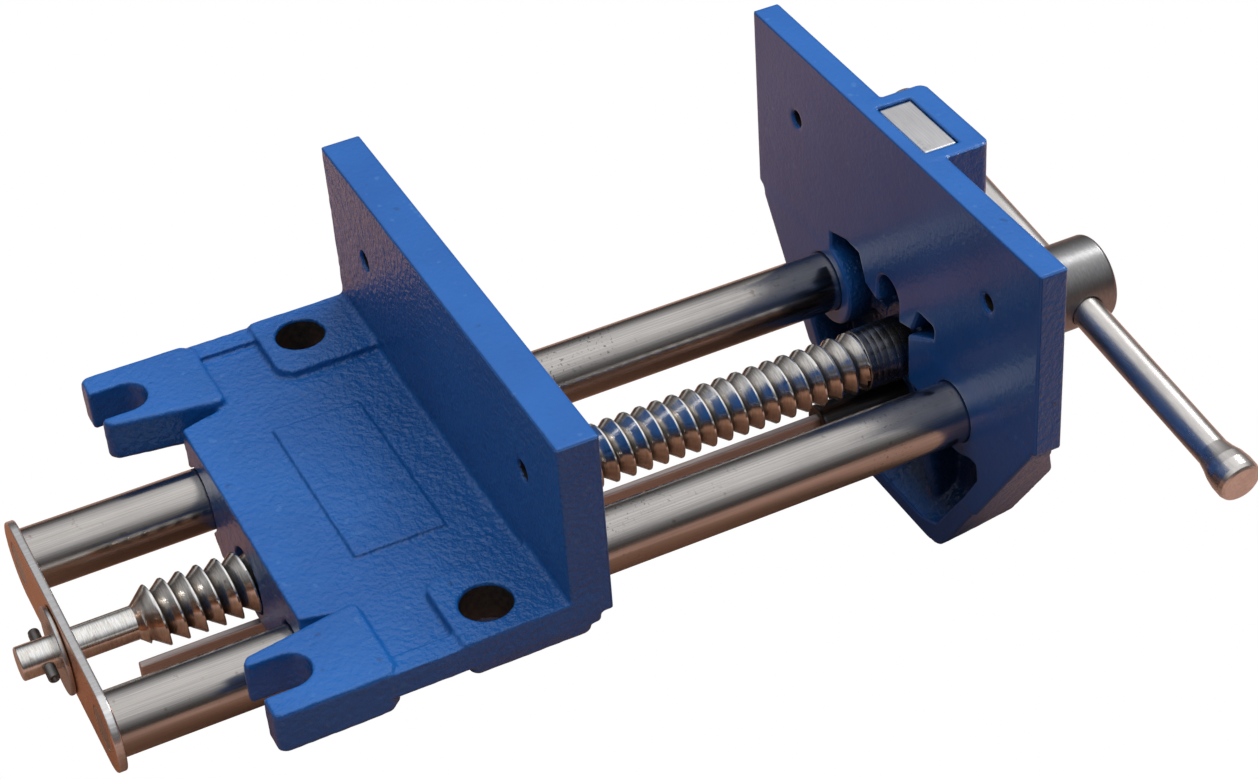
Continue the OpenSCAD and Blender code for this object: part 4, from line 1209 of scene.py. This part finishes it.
def cs_f(x, y, z):
    q = np.sqrt((np.abs(x) - 20) ** 2 + (np.abs(y - 47) - 16) ** 2)
    d = np.minimum(iround(q - 2.05, slabd(z, -64.2, -53), 0.3), iround(q - 3.3, slabd(z, -66.6, -64.0), 0.35))
    hx, hy = np.abs(x) - 20, np.abs(y - 47) - 16
    hexd = np.maximum(np.abs(hx), np.abs(hx) * 0.5 + np.abs(hy) * 0.866) - 1.3
    return cut(d, np.maximum(hexd, z + 65.2), 0.12)


done(solid("nut_cover_screws_turned", cs_f, (-24.5, 26.5, -68), (24.5, 67.5, -51.5), 0.4, [ZINC]), "rear_jaw", "zinc_steel",
     "nut_cover_screws")


# ------------------------------------------------------------------ floor, camera, light
def rect(name, lo, hi, z, m):
    me = bpy.data.meshes.new(name)
    me.from_pydata([(lo[0], lo[1], z), (hi[0], lo[1], z), (hi[0], hi[1], z), (lo[0], hi[1], z)], [], [(0, 1, 2, 3)])
    me.materials.append(m)
    ob = bpy.data.objects.new(name, me)
    bpy.context.scene.collection.objects.link(ob)
    return ob


bm_ = Mat("bounce_brown")
bx, by, bz = bm_.sep()
shadow_r = bm_.math("SQRT", bm_.math("ADD", bm_.math("MULTIPLY", bx, bx), bm_.math("MULTIPLY", by, by)))
# the card is darker within about 0.2 m of the vise: a painted contact shadow; further out it is an even brown
bm_.set(color=bm_.ramp(shadow_r, [(0.12, (0.25, 0.125, 0.08)), (0.19, (0.20, 0.115, 0.08)), (0.27, (0.37, 0.22, 0.175)), (0.6, (0.34, 0.21, 0.165))]), rough=0.8, spec=0.1)
bounce = rect("bounce", (-14, -14), (14, 14), -0.0942, bm_.m)
bounce.visible_camera = False
bounce.visible_shadow = False

cam = bpy.data.cameras.new("camera")
cam.lens = 82.77
cam.sensor_width = 36
cam.sensor_fit = "HORIZONTAL"
cam.clip_start = 0.01
cam.clip_end = 60
cam.dof.use_dof = False
co = bpy.data.objects.new("camera", cam)
bpy.context.scene.collection.objects.link(co)
from mathutils import Matrix
X = (-0.44401620, -0.89404148, -0.05949317)
Y = (0.53484240, -0.31772383, 0.78294008)
Z = (-0.71888331, 0.31581861, 0.61924582)
L = (-0.67077, 0.21067, 0.57158)
co.matrix_world = Matrix(((X[0], Y[0], Z[0], L[0]), (X[1], Y[1], Z[1], L[1]), (X[2], Y[2], Z[2], L[2]), (0, 0, 0, 1)))
bpy.context.scene.camera = co

world = bpy.data.worlds.new("studio")
bpy.context.scene.world = world
world.use_nodes = True
wt = world.node_tree
wt.nodes.clear()
wo = wt.nodes.new("ShaderNodeOutputWorld")
wb = wt.nodes.new("ShaderNodeBackground")
wc = wt.nodes.new("ShaderNodeTexCoord")
ws = wt.nodes.new("ShaderNodeSeparateXYZ")
wr = wt.nodes.new("ShaderNodeValToRGB")
wt.links.new(wc.outputs["Generated"], ws.inputs[0])
wm = wt.nodes.new("ShaderNodeMath")
wm.operation = "MULTIPLY_ADD"
wm.inputs[1].default_value = 0.5
wm.inputs[2].default_value = 0.5
wt.links.new(ws.outputs[2], wm.inputs[0])
wt.links.new(wm.outputs[0], wr.inputs[0])
cr = wr.color_ramp
cr.elements[0].position = 0.0
cr.elements[0].color = (0.10, 0.08, 0.07, 1)
cr.elements[1].position = 1.0
cr.elements[1].color = (1.0, 1.0, 1.0, 1)
for p, c in ((0.50, (0.055, 0.045, 0.042, 1)), (0.62, (0.085, 0.08, 0.08, 1)), (0.74, (0.26, 0.26, 0.27, 1)), (0.82, (0.55, 0.555, 0.57, 1)),
             (0.92, (0.90, 0.91, 0.93, 1))):
    e = cr.elements.new(p)
    e.color = c
wt.links.new(wr.outputs[0], wb.inputs[0])
wb.inputs[1].default_value = 1.0
wp = wt.nodes.new("ShaderNodeLightPath")
ww = wt.nodes.new("ShaderNodeBackground")
ww.inputs[0].default_value = (1, 1, 1, 1)
wx = wt.nodes.new("ShaderNodeMixShader")
wt.links.new(wp.outputs["Is Camera Ray"], wx.inputs[0])
wt.links.new(wb.outputs[0], wx.inputs[1])
wt.links.new(ww.outputs[0], wx.inputs[2])
wt.links.new(wx.outputs[0], wo.inputs[0])


def area(name, loc, to, size, power, color=(1, 1, 1)):
    l = bpy.data.lights.new(name, "AREA")
    l.shape = "RECTANGLE"
    l.size, l.size_y = size
    l.energy = power
    l.color = color
    o = bpy.data.objects.new(name, l)
    bpy.context.scene.collection.objects.link(o)
    from mathutils import Vector
    d = Vector(to) - Vector(loc)
    o.location = loc
    o.rotation_euler = d.to_track_quat("-Z", "Y").to_euler()
    return o


key = area("key", (0.45, -0.75, 1.35), (0, -0.05, 0), (0.9, 0.8), 21)
key.visible_glossy = False
area("spark", (0.30, -1.0, 0.95), (0, 0.0, 0), (0.22, 0.22), 4.2)
area("soft", (-0.3, 0.3, 1.7), (0, 0.0, 0), (1.4, 1.4), 7).visible_glossy = False

sc = bpy.context.scene
sc.view_settings.view_transform = "Standard"
sc.view_settings.look = "None"
sc.view_settings.exposure = 0.0
sc.view_settings.gamma = 1.0
